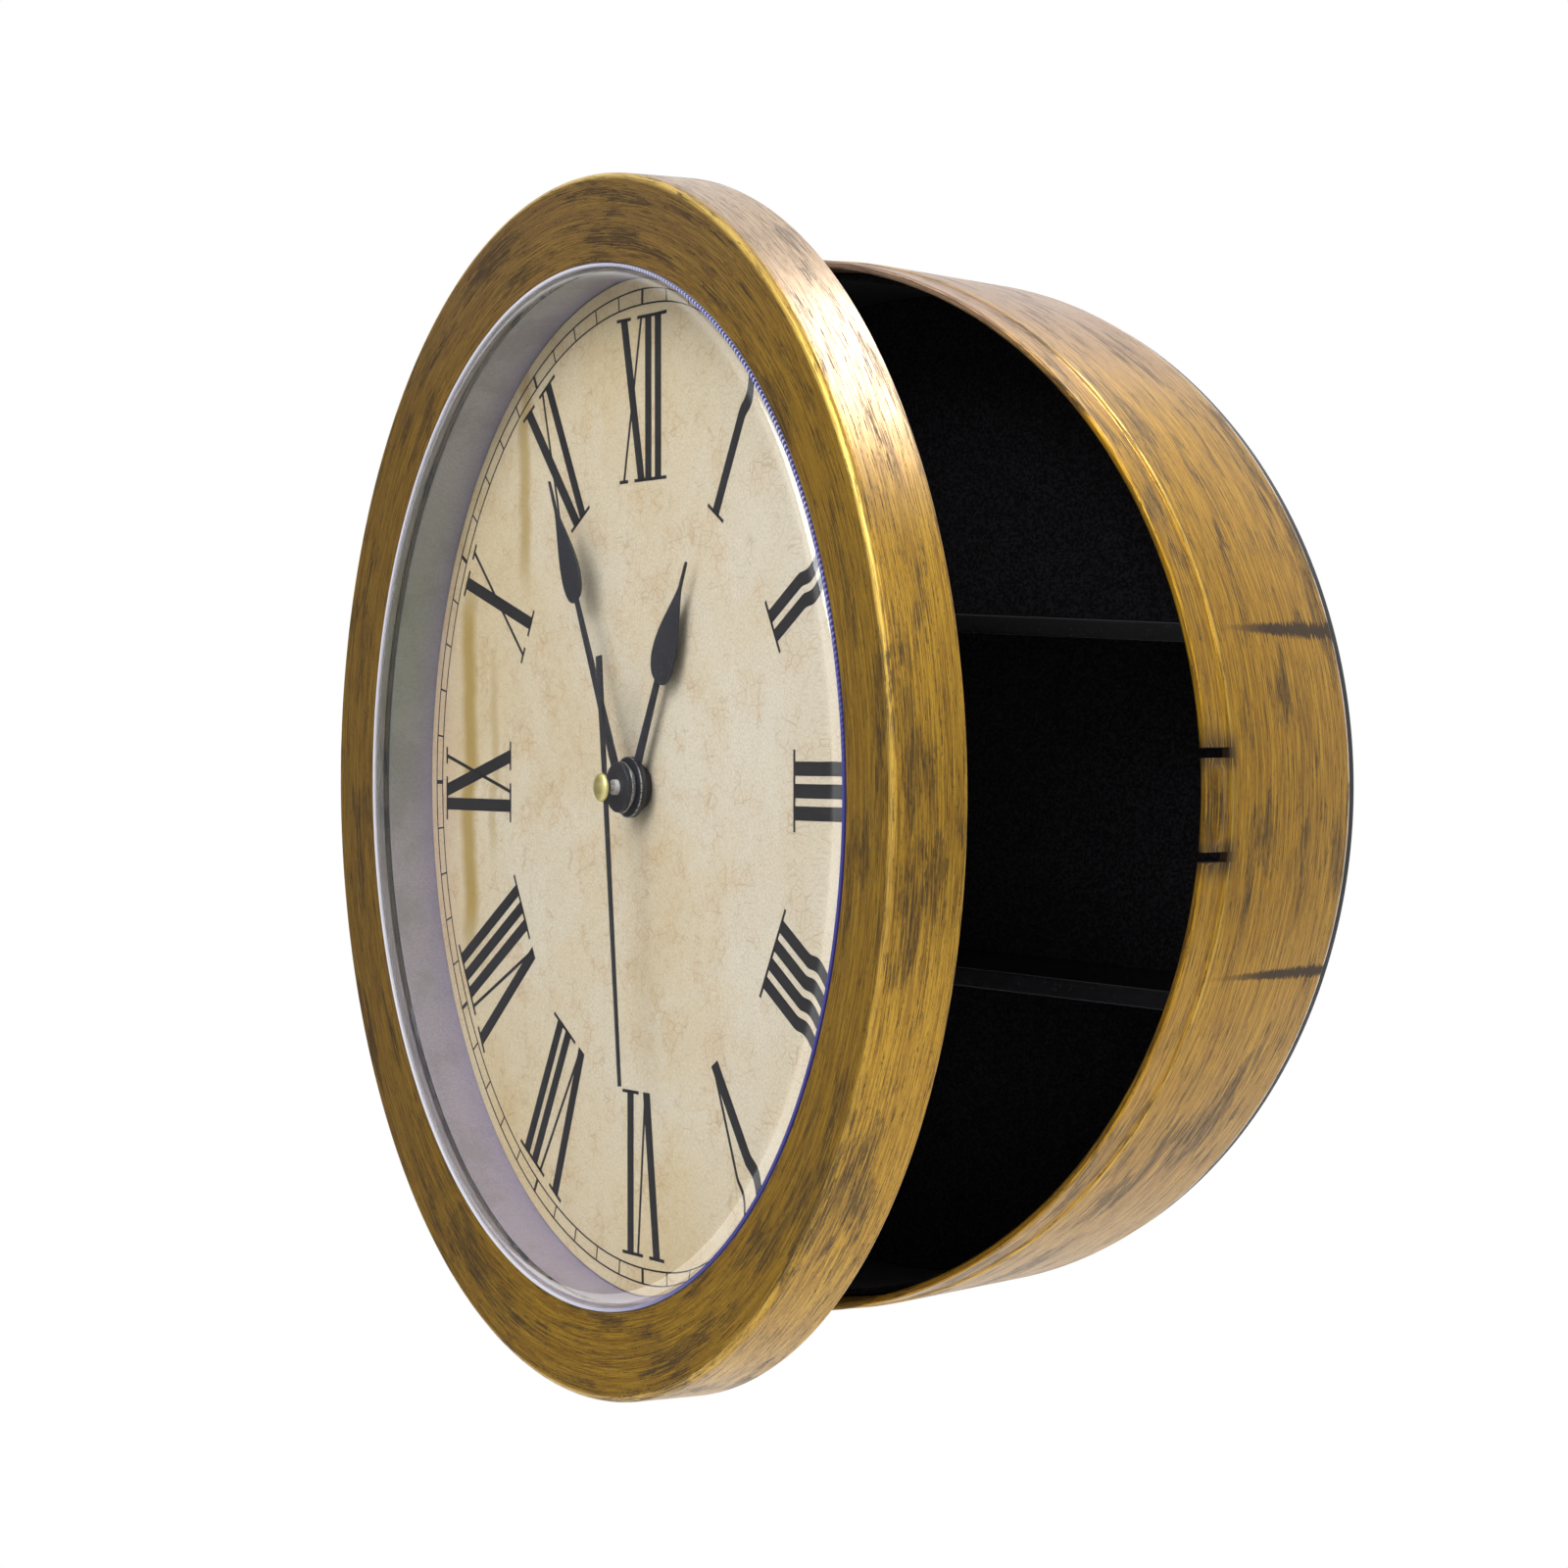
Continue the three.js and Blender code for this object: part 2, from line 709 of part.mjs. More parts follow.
function doorScrew() {
  const seat = clampBack - fitGap;
  const tip = openingZ - ringFaceThickness;
  return turned([
    [0, seat - screwHeadThickness],
    [screwHeadRadius, seat - screwHeadThickness],
    [screwHeadRadius, seat],
    [screwShankRadius, seat],
    [screwShankRadius, tip],
    [0, tip],
  ], smallSegments);
}

// Gears: thin pointed teeth, phased so that each pair is in mesh

function gearShape(teeth, gearModule, phase) {
  const pitchRadius = teeth * gearModule / 2;
  const tip = pitchRadius + 0.7 * gearModule;
  const root = pitchRadius - 1.1 * gearModule;
  const step = 2 * Math.PI / teeth;
  const shape = new THREE.Shape();
  for (let i = 0; i < teeth; i += 1) {
    const middle = phase + i * step;
    const corners = [[root, -0.22], [tip, 0], [root, 0.22]];
    corners.forEach(([radius, share], k) => {
      const x = radius * Math.cos(middle + share * step);
      const y = radius * Math.sin(middle + share * step);
      if (i === 0 && k === 0) shape.moveTo(x, y);
      else shape.lineTo(x, y);
    });
  }
  return shape;
}

function gear(teeth, gearModule, phase, back, thickness = wheelThickness) {
  return extruded(gearShape(teeth, gearModule, phase), back, back + thickness);
}

// The phase of a wheel whose gap meets its partner's tooth, along the line of centres
function meshedPhase(partnerPhase, partnerTeeth, teeth, lineAngle) {
  const partnerStep = 2 * Math.PI / partnerTeeth;
  const step = 2 * Math.PI / teeth;
  const offset = (partnerPhase - lineAngle) / partnerStep;
  return lineAngle + Math.PI - (offset - Math.floor(offset)) * step + step / 2;
}

const centre = [0, 0];
const thirdDistance = runningModule * (thirdPinionTeeth + centreWheelTeeth) / 2;
const secondThirdModule = 2 * thirdDistance / (secondPinionTeeth + thirdWheelTeeth);
const intermediateDistance = runningModule * (secondWheelTeeth + intermediatePinionTeeth) / 2;
const rotorDistance = runningModule * (intermediateWheelTeeth + rotorPinionTeeth) / 2;
const minuteWheelDistance = settingModule * (minutePinionTeeth + minuteWheelTeeth) / 2;
const hourModule = 2 * minuteWheelDistance / (minuteWheelPinionTeeth + hourWheelTeeth);
const settingDistance = settingModule * (minuteWheelTeeth + settingGearTeeth) / 2;

function stepFrom([x, y], distance, angle) {
  const [dx, dy] = onCircle(distance, angle);
  return [x + dx, y + dy];
}

const thirdPlace = stepFrom(centre, thirdDistance, thirdAngle);
const intermediatePlace = stepFrom(centre, intermediateDistance, intermediateAngle);
const rotorPlace = stepFrom(intermediatePlace, rotorDistance, rotorAngle);
const minuteWheelPlace = stepFrom(centre, minuteWheelDistance, minuteWheelAngle);
const settingPlace = stepFrom(minuteWheelPlace, settingDistance, settingAngle);
const statorLeftLeg = rotorPlace[0] - rotorRadius - fitGap - statorRingWidth / 2 - statorLegWidth;

const frontBearing = caseFront - caseWall;
const rearBearing = rearCaseBack + caseWall;
const frontPivot = frontBearing + bearingWeb - fitGap;
const rearPivot = rearBearing + bearingWeb + fitGap;

function secondWheel() {
  return join([
    gear(secondWheelTeeth, runningModule, 0, secondLayer),
    gear(secondPinionTeeth, secondThirdModule, 0, secondLayer + wheelThickness / 2,
      thirdLayer - secondLayer + wheelThickness / 2),
    disc(arborRadius, rearPivot, capBack + capThickness - capWall - fitGap),
  ]);
}

function thirdWheel() {
  const wheelPhase = meshedPhase(0, secondPinionTeeth, thirdWheelTeeth, thirdAngle * degrees);
  return join([
    gear(thirdWheelTeeth, secondThirdModule, wheelPhase, thirdLayer),
    gear(thirdPinionTeeth, runningModule, 0, thirdLayer + wheelThickness / 2,
      centreLayer - thirdLayer + wheelThickness / 2),
    disc(arborRadius, rearPivot, frontPivot),
  ]);
}

function centreWheel() {
  const phase = meshedPhase(0, thirdPinionTeeth, centreWheelTeeth, (thirdAngle + 180) * degrees);
  const bore = disc(minutePipeOuter + shaftGap, centreLayer - 1, centreLayer + 2);
  return cut(gear(centreWheelTeeth, runningModule, phase, centreLayer), [bore]);
}

function intermediateWheel() {
  const phase = meshedPhase(0, secondWheelTeeth, intermediatePinionTeeth, intermediateAngle * degrees);
  return join([
    gear(intermediateWheelTeeth, runningModule, 0, intermediateLayer),
    gear(intermediatePinionTeeth, runningModule, phase, intermediateLayer + wheelThickness / 2,
      secondLayer - intermediateLayer + wheelThickness / 2),
    disc(arborRadius, rearPivot, secondLayer + wheelThickness + fitGap),
  ]);
}

function rotor() {
  const phase = meshedPhase(0, intermediateWheelTeeth, rotorPinionTeeth, rotorAngle * degrees);
  return join([
    gear(rotorPinionTeeth, runningModule, phase, intermediateLayer),
    disc(rotorRadius, rotorTop - rotorLength, rotorTop),
    disc(arborRadius, rearPivot, frontPivot),
  ]);
}

function minutePipe() {
  const back = centreLayer - fitGap;
  const body = join([
    disc(minutePipeOuter, back, minuteHandBack + handThickness + minutePipeStandOut),
    gear(minutePinionTeeth, settingModule, 0, minuteLayer),
  ]);
  return cut(body, [disc(minutePipeInner, back - 1, lensFront)]);
}

function minuteWheel() {
  const wheelPhase = meshedPhase(0, minutePinionTeeth, minuteWheelTeeth, minuteWheelAngle * degrees);
  return join([
    gear(minuteWheelTeeth, settingModule, wheelPhase, minuteLayer),
    gear(minuteWheelPinionTeeth, hourModule, 0, minuteLayer + wheelThickness / 2,
      hourLayer - minuteLayer + wheelThickness / 2),
    disc(arborRadius, minuteLayer - fitGap, frontPivot),
  ]);
}

function hourWheel() {
  const phase = meshedPhase(0, minuteWheelPinionTeeth, hourWheelTeeth, (minuteWheelAngle + 180) * degrees);
  const body = join([
    gear(hourWheelTeeth, hourModule, phase, hourLayer),
    disc(hourPipeOuter, hourLayer, hourHandBack + handThickness + pipeStandOut),
  ]);
  return cut(body, [disc(hourPipeInner, hourLayer - 1, lensFront)]);
}

function settingShaft() {
  const wheelPhase = meshedPhase(0, minutePinionTeeth, minuteWheelTeeth, minuteWheelAngle * degrees);
  const phase = meshedPhase(wheelPhase, minuteWheelTeeth, settingGearTeeth, settingAngle * degrees);
  const knobFront = rearCaseBack - fitGap;
  return join([
    gear(settingGearTeeth, settingModule, phase, minuteLayer),
    disc(settingShaftRadius, knobFront - knobThickness / 2, minuteLayer + wheelThickness / 2),
    disc(knobRadius, knobFront - knobThickness, knobFront, 2 * smallSegments),
  ]);
}

// Hands

function halfWidth(hand, radius) {
  const run = (radius - hand.hub) / (hand.length - hand.hub);
  const needle = handStemHalf + (handTipHalf - handStemHalf) * Math.max(run, 0);
  const t = (radius - hand.bulbStart) / (hand.bulbEnd - hand.bulbStart);
  if (t <= 0 || t >= 1) return needle;
  const peak = 0.5 / 1.9;
  const swell = Math.sqrt(t / peak) * ((1 - t) / (1 - peak)) ** 1.4;
  return needle + (hand.bulbHalf - needle) * swell;
}

function spadeHand(hand, back, holeRadius) {
  const radii = [hand.hub / 2, hand.bulbStart];
  const bulbSteps = 14;
  for (let i = 1; i <= bulbSteps; i += 1) {
    radii.push(hand.bulbStart + (hand.bulbEnd - hand.bulbStart) * (i / bulbSteps) ** 1.5);
  }
  radii.push(hand.length);
  const right = radii.map((radius) => new THREE.Vector2(halfWidth(hand, radius), radius));
  const left = radii.map((radius) => new THREE.Vector2(-halfWidth(hand, radius), radius)).reverse();
  const blade = extruded(new THREE.Shape([...right, ...left]), back, back + handThickness);
  const hub = disc(hand.hub, back, back + handThickness, 2 * smallSegments);
  return cut(join([blade, hub]), [disc(holeRadius, back - 1, back + 2)]);
}

function secondHandPiece() {
  const back = secondHandBack;
  const blade = new THREE.Shape([
    new THREE.Vector2(secondHandTipHalf, secondHandLength),
    new THREE.Vector2(-secondHandTipHalf, secondHandLength),
    new THREE.Vector2(-secondHandTailHalf, -secondHandTail),
    new THREE.Vector2(secondHandTailHalf, -secondHandTail),
  ]);
  const hub = disc(secondHandHub, back, back + handThickness);
  const body = join([extruded(blade, back, back + handThickness), hub]);
  return cut(body, [disc(arborRadius + fitGap, back - 1, back + 2)]);
}

function handCap() {
  const front = capBack + capThickness;
  return turned([
    [arborRadius + fitGap, capBack],
    [capRadius, capBack],
    [capRadius, front - fitGap],
    [capRadius - fitGap, front],
    [0, front],
    [0, front - capWall],
    [arborRadius + fitGap, front - capWall],
  ], 2 * smallSegments);
}

// Movement case

function post(radius, [x, y], back, front) {
  return disc(radius, back, front).translate(x, y, 0);
}

function caseBlock(wall, back, front) {
  const [halfWidth, halfHeight] = [caseInnerWidth + wall, caseInnerHeight + wall];
  return box([-halfWidth, -halfHeight, back], [halfWidth, halfHeight, front]);
}

function frontCase() {
  const outside = caseBlock(caseWall, frontCaseBack, caseFront);
  const hollow = caseBlock(0, frontCaseBack - 1, frontBearing);
  const bush = disc(bushOuter, caseFront - caseWall / 2, bushTop, 2 * smallSegments);
  const holes = [thirdPlace, rotorPlace, minuteWheelPlace].map((place) => (
    post(arborRadius + fitGap, place, frontBearing - 1, frontBearing + bearingWeb)));
  const bore = disc(bushInner, frontCaseBack, bushTop + 1);
  return cut(join([cut(outside, [hollow]), bush]), [bore, ...holes]);
}

function rearCase() {
  const outside = caseBlock(caseWall, rearCaseBack, rearCaseFront);
  const hollow = caseBlock(0, rearBearing, rearCaseFront + 1);
  const bayOpening = box(
    [-batteryLength / 2 - fitGap, batteryHeight - batteryRadius - fitGap, rearCaseBack - 1],
    [batteryLength / 2 + fitGap, bayTop, rearBearing + 1],
  );
  const partitionEnd = caseInnerWidth + caseWall / 2;
  const partition = box(
    [-partitionEnd, bayTop, rearBearing - caseWall / 2],
    [partitionEnd, bayTop + bayWall, rearCaseFront],
  );
  const places = [centre, thirdPlace, intermediatePlace, rotorPlace];
  const wallMiddle = rearBearing - caseWall / 2;
  const bearings = places.map((place) => post(bearingRadius, place, wallMiddle, rearBearing + bearingDepth));
  const holes = places.map((place) => (
    post(arborRadius + fitGap, place, rearBearing + bearingWeb, rearBearing + bearingDepth + 1)));
  const statorPosts = statorPostPlaces().map((place) => (
    post(postRadius, place, wallMiddle, statorPlane - fitGap)));
  const boardPosts = boardPostPlaces().map((place) => (
    post(postRadius, place, wallMiddle, boardPlane - boardThickness - fitGap)));
  const settingHole = post(settingShaftRadius + fitGap, settingPlace, rearCaseBack - 1, rearBearing + 1);
  const body = join([
    cut(outside, [hollow, bayOpening]), partition, ...bearings, ...statorPosts, ...boardPosts,
  ]);
  return cut(body, [settingHole, ...holes]);
}

function washer() {
  const washerBack = washerFront - washerThickness;
  return tube(bushOuter + fitGap, washerRadius, washerBack, washerFront, 2 * smallSegments);
}

function fixingNut() {
  const hexagon = disc(nutRadius, nutBack, nutBack + nutThickness, 6);
  return cut(hexagon, [disc(bushOuter + fitGap, nutBack - 1, bushTop + 1)]);
}

// Battery, its contacts, the coil with its stator, and the circuit board

function battery() {
  const half = batteryLength / 2;
  return join([
    levelCylinder(batteryRadius, -half, half - batteryCapLength, batteryHeight, batteryZ, 2 * smallSegments),
    levelCylinder(batteryCapRadius, half - 2 * batteryCapLength, half, batteryHeight, batteryZ),
  ]);
}

function contact(side) {
  const inner = batteryLength / 2 + fitGap;
  const [left, right] = side > 0 ? [inner, inner + contactThickness] : [-inner - contactThickness, -inner];
  const half = batteryRadius - 1;
  return box([left, batteryHeight - half, batteryZ - half], [right, batteryHeight + half, batteryZ + half]);
}

function statorPostPlaces() {
  const height = statorBarBottom + statorLegWidth;
  return [[statorLeftLeg + statorLegWidth / 2, height], [statorRightLeg + statorLegWidth / 2, height]];
}

function boardPostPlaces() {
  const inset = 2 * postRadius;
  const half = boardWidth / 2 - inset;
  return [[boardCentreX - half, boardCentreY], [boardCentreX + half, boardCentreY]];
}

function stator() {
  const [x, y] = rotorPlace;
  const front = statorPlane + statorThickness;
  const inner = rotorRadius + fitGap;
  const outer = inner + statorRingWidth;
  const barTop = statorBarBottom + statorLegWidth;
  const leftLegEnd = statorLeftLeg + statorLegWidth;
  const rightLegEnd = statorRightLeg + statorLegWidth;
  const plate = join([
    disc(outer, statorPlane, front, 2 * smallSegments).translate(x, y, 0),
    box([statorLeftLeg, y - outer / 2, statorPlane], [leftLegEnd, statorLegTop, front]),
    box([x - outer / 2, y, statorPlane], [x + outer / 2, barTop, front]),
    box([x, statorBarBottom, statorPlane], [rightLegEnd, barTop, front]),
    box([statorRightLeg, statorBarBottom, statorPlane], [rightLegEnd, statorLegTop, front]),
  ]);
  return cut(plate, [disc(inner, statorPlane - 1, front + 1, 2 * smallSegments).translate(x, y, 0)]);
}

function coil() {
  return levelCylinder(
    coilRadius, statorLeftLeg + statorLegWidth + fitGap, statorRightLeg - fitGap, coilHeight,
    statorPlane + statorThickness / 2, 2 * smallSegments,
  );
}

function circuitBoard() {
  const [x, y] = [boardCentreX - boardWidth / 2, boardCentreY - boardHeight / 2];
  return box([x, y, boardPlane - boardThickness], [x + boardWidth, y + boardHeight, boardPlane]);
}

function crystal() {
  return levelCylinder(
    crystalRadius, boardCentreX - crystalLength / 2, boardCentreX + crystalLength / 2, boardCentreY,
    boardPlane + crystalRadius + fitGap,
  );
}

// Assembly

function turnedTo(mesh, clockwiseAngle) {
  mesh.rotation.z = -clockwiseAngle * degrees;
  return mesh;
}

function placed(mesh, [x, y]) {
  mesh.position.set(x, y, 0);
  return mesh;
}

function buildTray() {
  const tray = new THREE.Group();
  tray.rotation.z = -trayTurn * degrees;
  tray.add(
    piece('drum_liner', drumLiner(), blackFlock()),
    piece('liner_floor', linerFloor(), blackFlock()),
    piece('upper_shelf', shelf(upperShelfTop), glossBlack()),
    piece('lower_shelf', shelf(lowerShelfTop), glossBlack()),
  );
  return tray;
}

function buildMovement() {
  const movement = new THREE.Group();
  movement.add(
    piece('movement_front_case', frontCase(), blackPlastic()),
    piece('movement_rear_case', rearCase(), blackPlastic()),
    piece('rubber_washer', washer(), blackPlastic()),
    piece('fixing_nut', fixingNut(), brass()),
    piece('battery', battery(), steel()),
    piece('battery_contact_positive', contact(1), steel()),
    piece('battery_contact_negative', contact(-1), steel()),
    piece('stator_plate', stator(), steel()),
    piece('motor_coil', coil(), copper()),
    piece('circuit_board', circuitBoard(), material(0x2f5d3a, 0.6)),
    piece('quartz_crystal', crystal(), steel()),
    piece('second_wheel', secondWheel(), whiteNylon()),
    placed(piece('third_wheel', thirdWheel(), whiteNylon()), thirdPlace),
    piece('centre_wheel', centreWheel(), brass()),
    placed(piece('intermediate_wheel', intermediateWheel(), whiteNylon()), intermediatePlace),
    placed(piece('rotor', rotor(), steel()), rotorPlace),
    piece('minute_pipe', minutePipe(), steel()),
    placed(piece('minute_wheel', minuteWheel(), whiteNylon()), minuteWheelPlace),
    piece('hour_wheel', hourWheel(), whiteNylon()),
    placed(piece('setting_knob', settingShaft(), greyPlastic()), settingPlace),
  );
  return movement;
}

function buildHands() {
  const hourHand = spadeHand({
    length: hourHandLength,
    bulbStart: hourBulbStart,
    bulbEnd: hourBulbEnd,
    bulbHalf: hourBulbHalf,
    hub: hourHubRadius,
  }, hourHandBack, hourPipeOuter + fitGap);
  const minuteHand = spadeHand({
    length: minuteHandLength,
    bulbStart: minuteBulbStart,
    bulbEnd: minuteBulbEnd,
    bulbHalf: minuteBulbHalf,
    hub: minuteHubRadius,
  }, minuteHandBack, minutePipeOuter + fitGap);
  const hands = new THREE.Group();
  hands.add(
    turnedTo(piece('hour_hand', hourHand, glossBlack()), hourHandAngle),
    turnedTo(piece('minute_hand', minuteHand, glossBlack()), minuteHandAngle),
    turnedTo(piece('second_hand', secondHandPiece(), glossBlack()), secondHandAngle),
    piece('second_hand_cap', handCap(), brass()),
  );
  return hands;
}

function buildDoor() {
  const hinge = new THREE.Group();
  hinge.position.set(hingeAxisX, 0, hingeAxisZ);
  hinge.rotation.y = -doorOpenAngle * degrees;
  const door = new THREE.Group();
  door.position.set(-hingeAxisX, 0, -doorHingeZ);
  door.add(
    piece('door_ring', doorRing(), antiqueGold()),
    piece('lens', lens(), material(0xe8ecf2, 0.05)),
    piece('dial_cup', dialCup(), greyPlastic()),
    piece('clamp_ring', clampRing(), blackPlastic()),
    piece('dial_card', dialCard(), material(0xd8cba6, 0.8)),
    buildMovement(),
    buildHands(),
  );
  ringScrewPlaces().forEach((place, i) => {
    door.add(placed(piece(`door_screw_${i + 1}`, doorScrew(), steel()), place));
  });
  hinge.add(door);
  return hinge;
}

function buildSafe() {
  const frontFrame = new THREE.Group();
  frontFrame.rotation.x = Math.PI / 2;
  frontFrame.add(
    piece('drum_shell', drumShell(), antiqueGold()),
    piece('back_plate', backPlate(), blackPlastic()),
    piece('hinge_pin', hingePin(), steel()),
    buildTray(),
    buildDoor(),
  );
  backScrewPlaces().forEach((place, i) => {
    frontFrame.add(placed(piece(`back_screw_${i + 1}`, backScrew(), steel()), place));
  });
  const safe = new THREE.Group();
  safe.add(frontFrame);
  return safe;
}

export default buildSafe();
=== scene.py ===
"""Looks of the clock diversion safe: an antique gold wall clock that opens on a shallow round cabinet.

Shapes are worked out in millimetres in a front frame (x right, y up, z towards the viewer). The drum's
front frame starts at the wall, the door's at the rear edge of its ring, and each is then placed in metres.
"""

import math

import bmesh
import bpy
import numpy as np
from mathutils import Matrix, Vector


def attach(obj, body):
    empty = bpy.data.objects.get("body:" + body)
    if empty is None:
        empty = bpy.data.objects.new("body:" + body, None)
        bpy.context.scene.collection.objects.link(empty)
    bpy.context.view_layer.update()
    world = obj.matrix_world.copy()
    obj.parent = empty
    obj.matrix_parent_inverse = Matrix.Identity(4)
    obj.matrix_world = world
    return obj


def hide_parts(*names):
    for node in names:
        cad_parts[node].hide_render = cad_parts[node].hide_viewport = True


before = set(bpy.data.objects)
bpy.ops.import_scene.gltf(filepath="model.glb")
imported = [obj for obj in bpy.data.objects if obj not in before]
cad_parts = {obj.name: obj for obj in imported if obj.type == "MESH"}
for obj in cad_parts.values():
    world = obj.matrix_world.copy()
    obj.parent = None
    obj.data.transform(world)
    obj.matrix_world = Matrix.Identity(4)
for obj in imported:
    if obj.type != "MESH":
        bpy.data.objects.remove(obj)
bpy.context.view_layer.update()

# Camera, as the photograph was taken (millimetres and degrees)
PHOTO_SIZE = 1600
SENSOR = 36.0
FOCAL_LENGTH = 86.95
CAMERA_AZIMUTH = 40.75
CAMERA_ELEVATION = 0.64
CAMERA_DISTANCE = 802.8
CAMERA_TARGET = (4.12, -54.0, 1.61)
CENTRE_OFFSET = (2.86, 5.84)

# Drum
SHELL_BACK = 2.3
LIP_FRONT = 54.0
LIP_INNER = 109.8
LIP_OUTER = 111.4
LIP_LENGTH = 8.6
RIDGE_RADIUS = 111.9
DRUM_BACK_RADIUS = 111.3
LUG_THICKNESS = 2.0
LUG_INNER = 99.0
LUG_HALF_WIDTH = 6.0
LATCH_SLOTS = (-13.05, 7.35)
LATCH_SLOT_WIDTH = 2.0
LATCH_SLOT_LENGTH = 8.0
LATCH_BULGE = 1.0
LATCH_BULGE_SPAN = (48.0, 52.0)
LATCH_TAB = (LATCH_SLOTS[0] + 2.4, LATCH_SLOTS[1] - 2.4)
CROSS_LINES = (
    {"height": 32.0, "start": 46.0, "end": 10.0, "widest": 1.7},
    {"height": -37.4, "start": 49.0, "end": 6.0, "widest": 1.1},
)
BACK_PLATE_RADIUS = 110.7
BACK_PLATE_THICKNESS = 2.0
KEYHOLE_HEIGHT = 78.0
KEYHOLE_RISE = 12.0
KEYHOLE_HEAD = 4.2
KEYHOLE_SLOT = 2.1
BACK_SCREW_CIRCLE = 104.0
BACK_SCREWS = {"count": 4, "first": 45}
BACK_SCREW_RECESS = 1.2

# Liner and shelves
TRAY_TURN = 3.0
LINER_OUTER = 109.5
LINER_INNER = 108.0
LINER_BACK = 4.6
LINER_FRONT = 41.5
FLOOR_FRONT = 5.8
FIT_GAP = 0.3
SHELF_TOPS = {"upper_shelf": 38.3, "lower_shelf": -35.2}
SHELF_THICKNESS = 2.2
SHELF_NOSING = 4.2
SHELF_NOSING_DEPTH = 1.6
RAIL_HEIGHT = 3.0
RAIL_REACH = 3.0

# Hinge
HINGE_X = -121.0
HINGE_Z = 49.0
DOOR_HINGE_Z = 3.0
DOOR_ANGLE = 19.7
PIN_RADIUS = 1.2
KNUCKLE_RADIUS = 2.6
DRUM_KNUCKLES = ((8.4, 14.4), (-14.4, -8.4))
DOOR_KNUCKLES = ((-7.6, 7.6), (15.2, 20.4), (-20.4, -15.2))
HINGE_NOTCHES = ((8.0, 14.8), (-14.8, -8.0))
HINGE_NOTCH_DEPTH = 6.4
HINGE_ARM_HALF = 2.2

# Door ring and lens
RING_RADIUS = 125.0
RING_DEPTH = 16.0
RING_ROUNDING = 1.4
RING_EDGE_RUN = 22.3
RING_OPENING = 106.9
RING_OPENING_Z = 14.85
RING_WALL = 2.4
RING_LIP_WIDTH = 2.3
RING_LIP_DEPTH = 2.25
RING_FACE_THICKNESS = 1.8
RING_FLANGE_INNER = 118.5
RING_FLANGE = 1.8
CATCH_REACH = 112.9
CATCH_CENTRE = -2.85
CATCH_HEIGHT = 14.0
RING_SCREW_CIRCLE = 115.6
RING_SCREWS = {"count": 6, "first": 30}
RING_SCREW_TIP = 13.05
LENS_FRONT = 16.0
LENS_RADIUS = 106.15
LENS_THICKNESS = 0.4
LENS_SHOULDER = (6.0, 3.0)
LENS_SHOULDER_POWER = 3.5
LENS_FLANGE_RADIUS = 110.3
LENS_FLANGE_Z = (11.3, 12.3)
BEAD_FRONT = 15.2

# Dial cup, clamp ring and dial
CUP_INNER = 106.1
CUP_OUTER = 107.4
CUP_FLOOR_Z = (-1.9, -0.3)
CUP_FLANGE_Z = (10.0, 11.0)
CLAMP_Z = (8.4, 9.7)
CLAMP_RADII = (107.8, 121.8)
CLAMP_HOLE = 1.4
DIAL_Z = (0.0, 0.5)
DIAL_RADIUS = 105.8
BUSH_HOLE = 4.3
PRINT_THICKNESS = 0.05

# Printed dial
NUMERAL_INNER = 63.2
NUMERAL_OUTER = 97.6
THICK_STROKE = 2.75
THIN_STROKE = 0.8
SERIF = 0.7
SERIF_OVERHANG = 2.3
I_ADVANCE = 4.3
V_ADVANCE = 10.8
X_ADVANCE = 9.8
TRACK_RADII = (99.8, 102.9)
TRACK_LINE = 0.35
MINUTES = 60
OCHRE_STREAKS = (
    {"centre": -85.0, "half": 5.5, "low": -44.0, "high": 50.0, "strength": 0.9},
    {"centre": -56.0, "half": 4.0, "low": 38.0, "high": 96.0, "strength": 0.7},
    {"centre": -72.0, "half": 3.0, "low": -24.0, "high": 34.0, "strength": 0.4},
)

# Hands; the angles are told clockwise from twelve o'clock
SECOND_ANGLE = 174.0
MINUTE_ANGLE = 330 + SECOND_ANGLE / 60
HOUR_ANGLE = MINUTE_ANGLE / 12
HAND_THICKNESS = 0.5
HOUR_HAND = {"length": 51.5, "bulb": (24.5, 46.0), "half": 4.8, "stem": 1.4, "hub": 6.3, "z": 2.75}
MINUTE_HAND = {"length": 73.0, "bulb": (44.0, 66.0), "half": 4.0, "stem": 1.4, "hub": 5.3, "z": 5.45}
SECOND_HAND = {"length": 61.5, "tail": 27.3, "tip": 0.45, "end": 1.1, "hub": 2.2, "z": 8.9}
HAND_TIP = 0.3
CAP_RADIUS = 3.0
CAP_Z = (9.7, 11.1)
ARBOR_RADIUS = 0.5
MINUTE_PIPE = 1.6
HOUR_PIPE = 2.7

# Movement
CASE_BACK = -19.8
CASE_RIBS = (6.0, 12.0, 18.0)
CASE_RIB_LENGTH = 40.0
BATTERY_RADIUS = 7.1
BATTERY_LENGTH = 50.3
BATTERY_HEIGHT = -19.3
BATTERY_Z = -12.4
KNOB_PLACE = (15.59, -7.01)
KNOB_RADIUS = 4.5
KNOB_Z = (-22.5, -20.1)
SCREW_HEAD = 2.3
SCREW_HEAD_HEIGHT = 0.8
SCREW_SHANK = 1.1

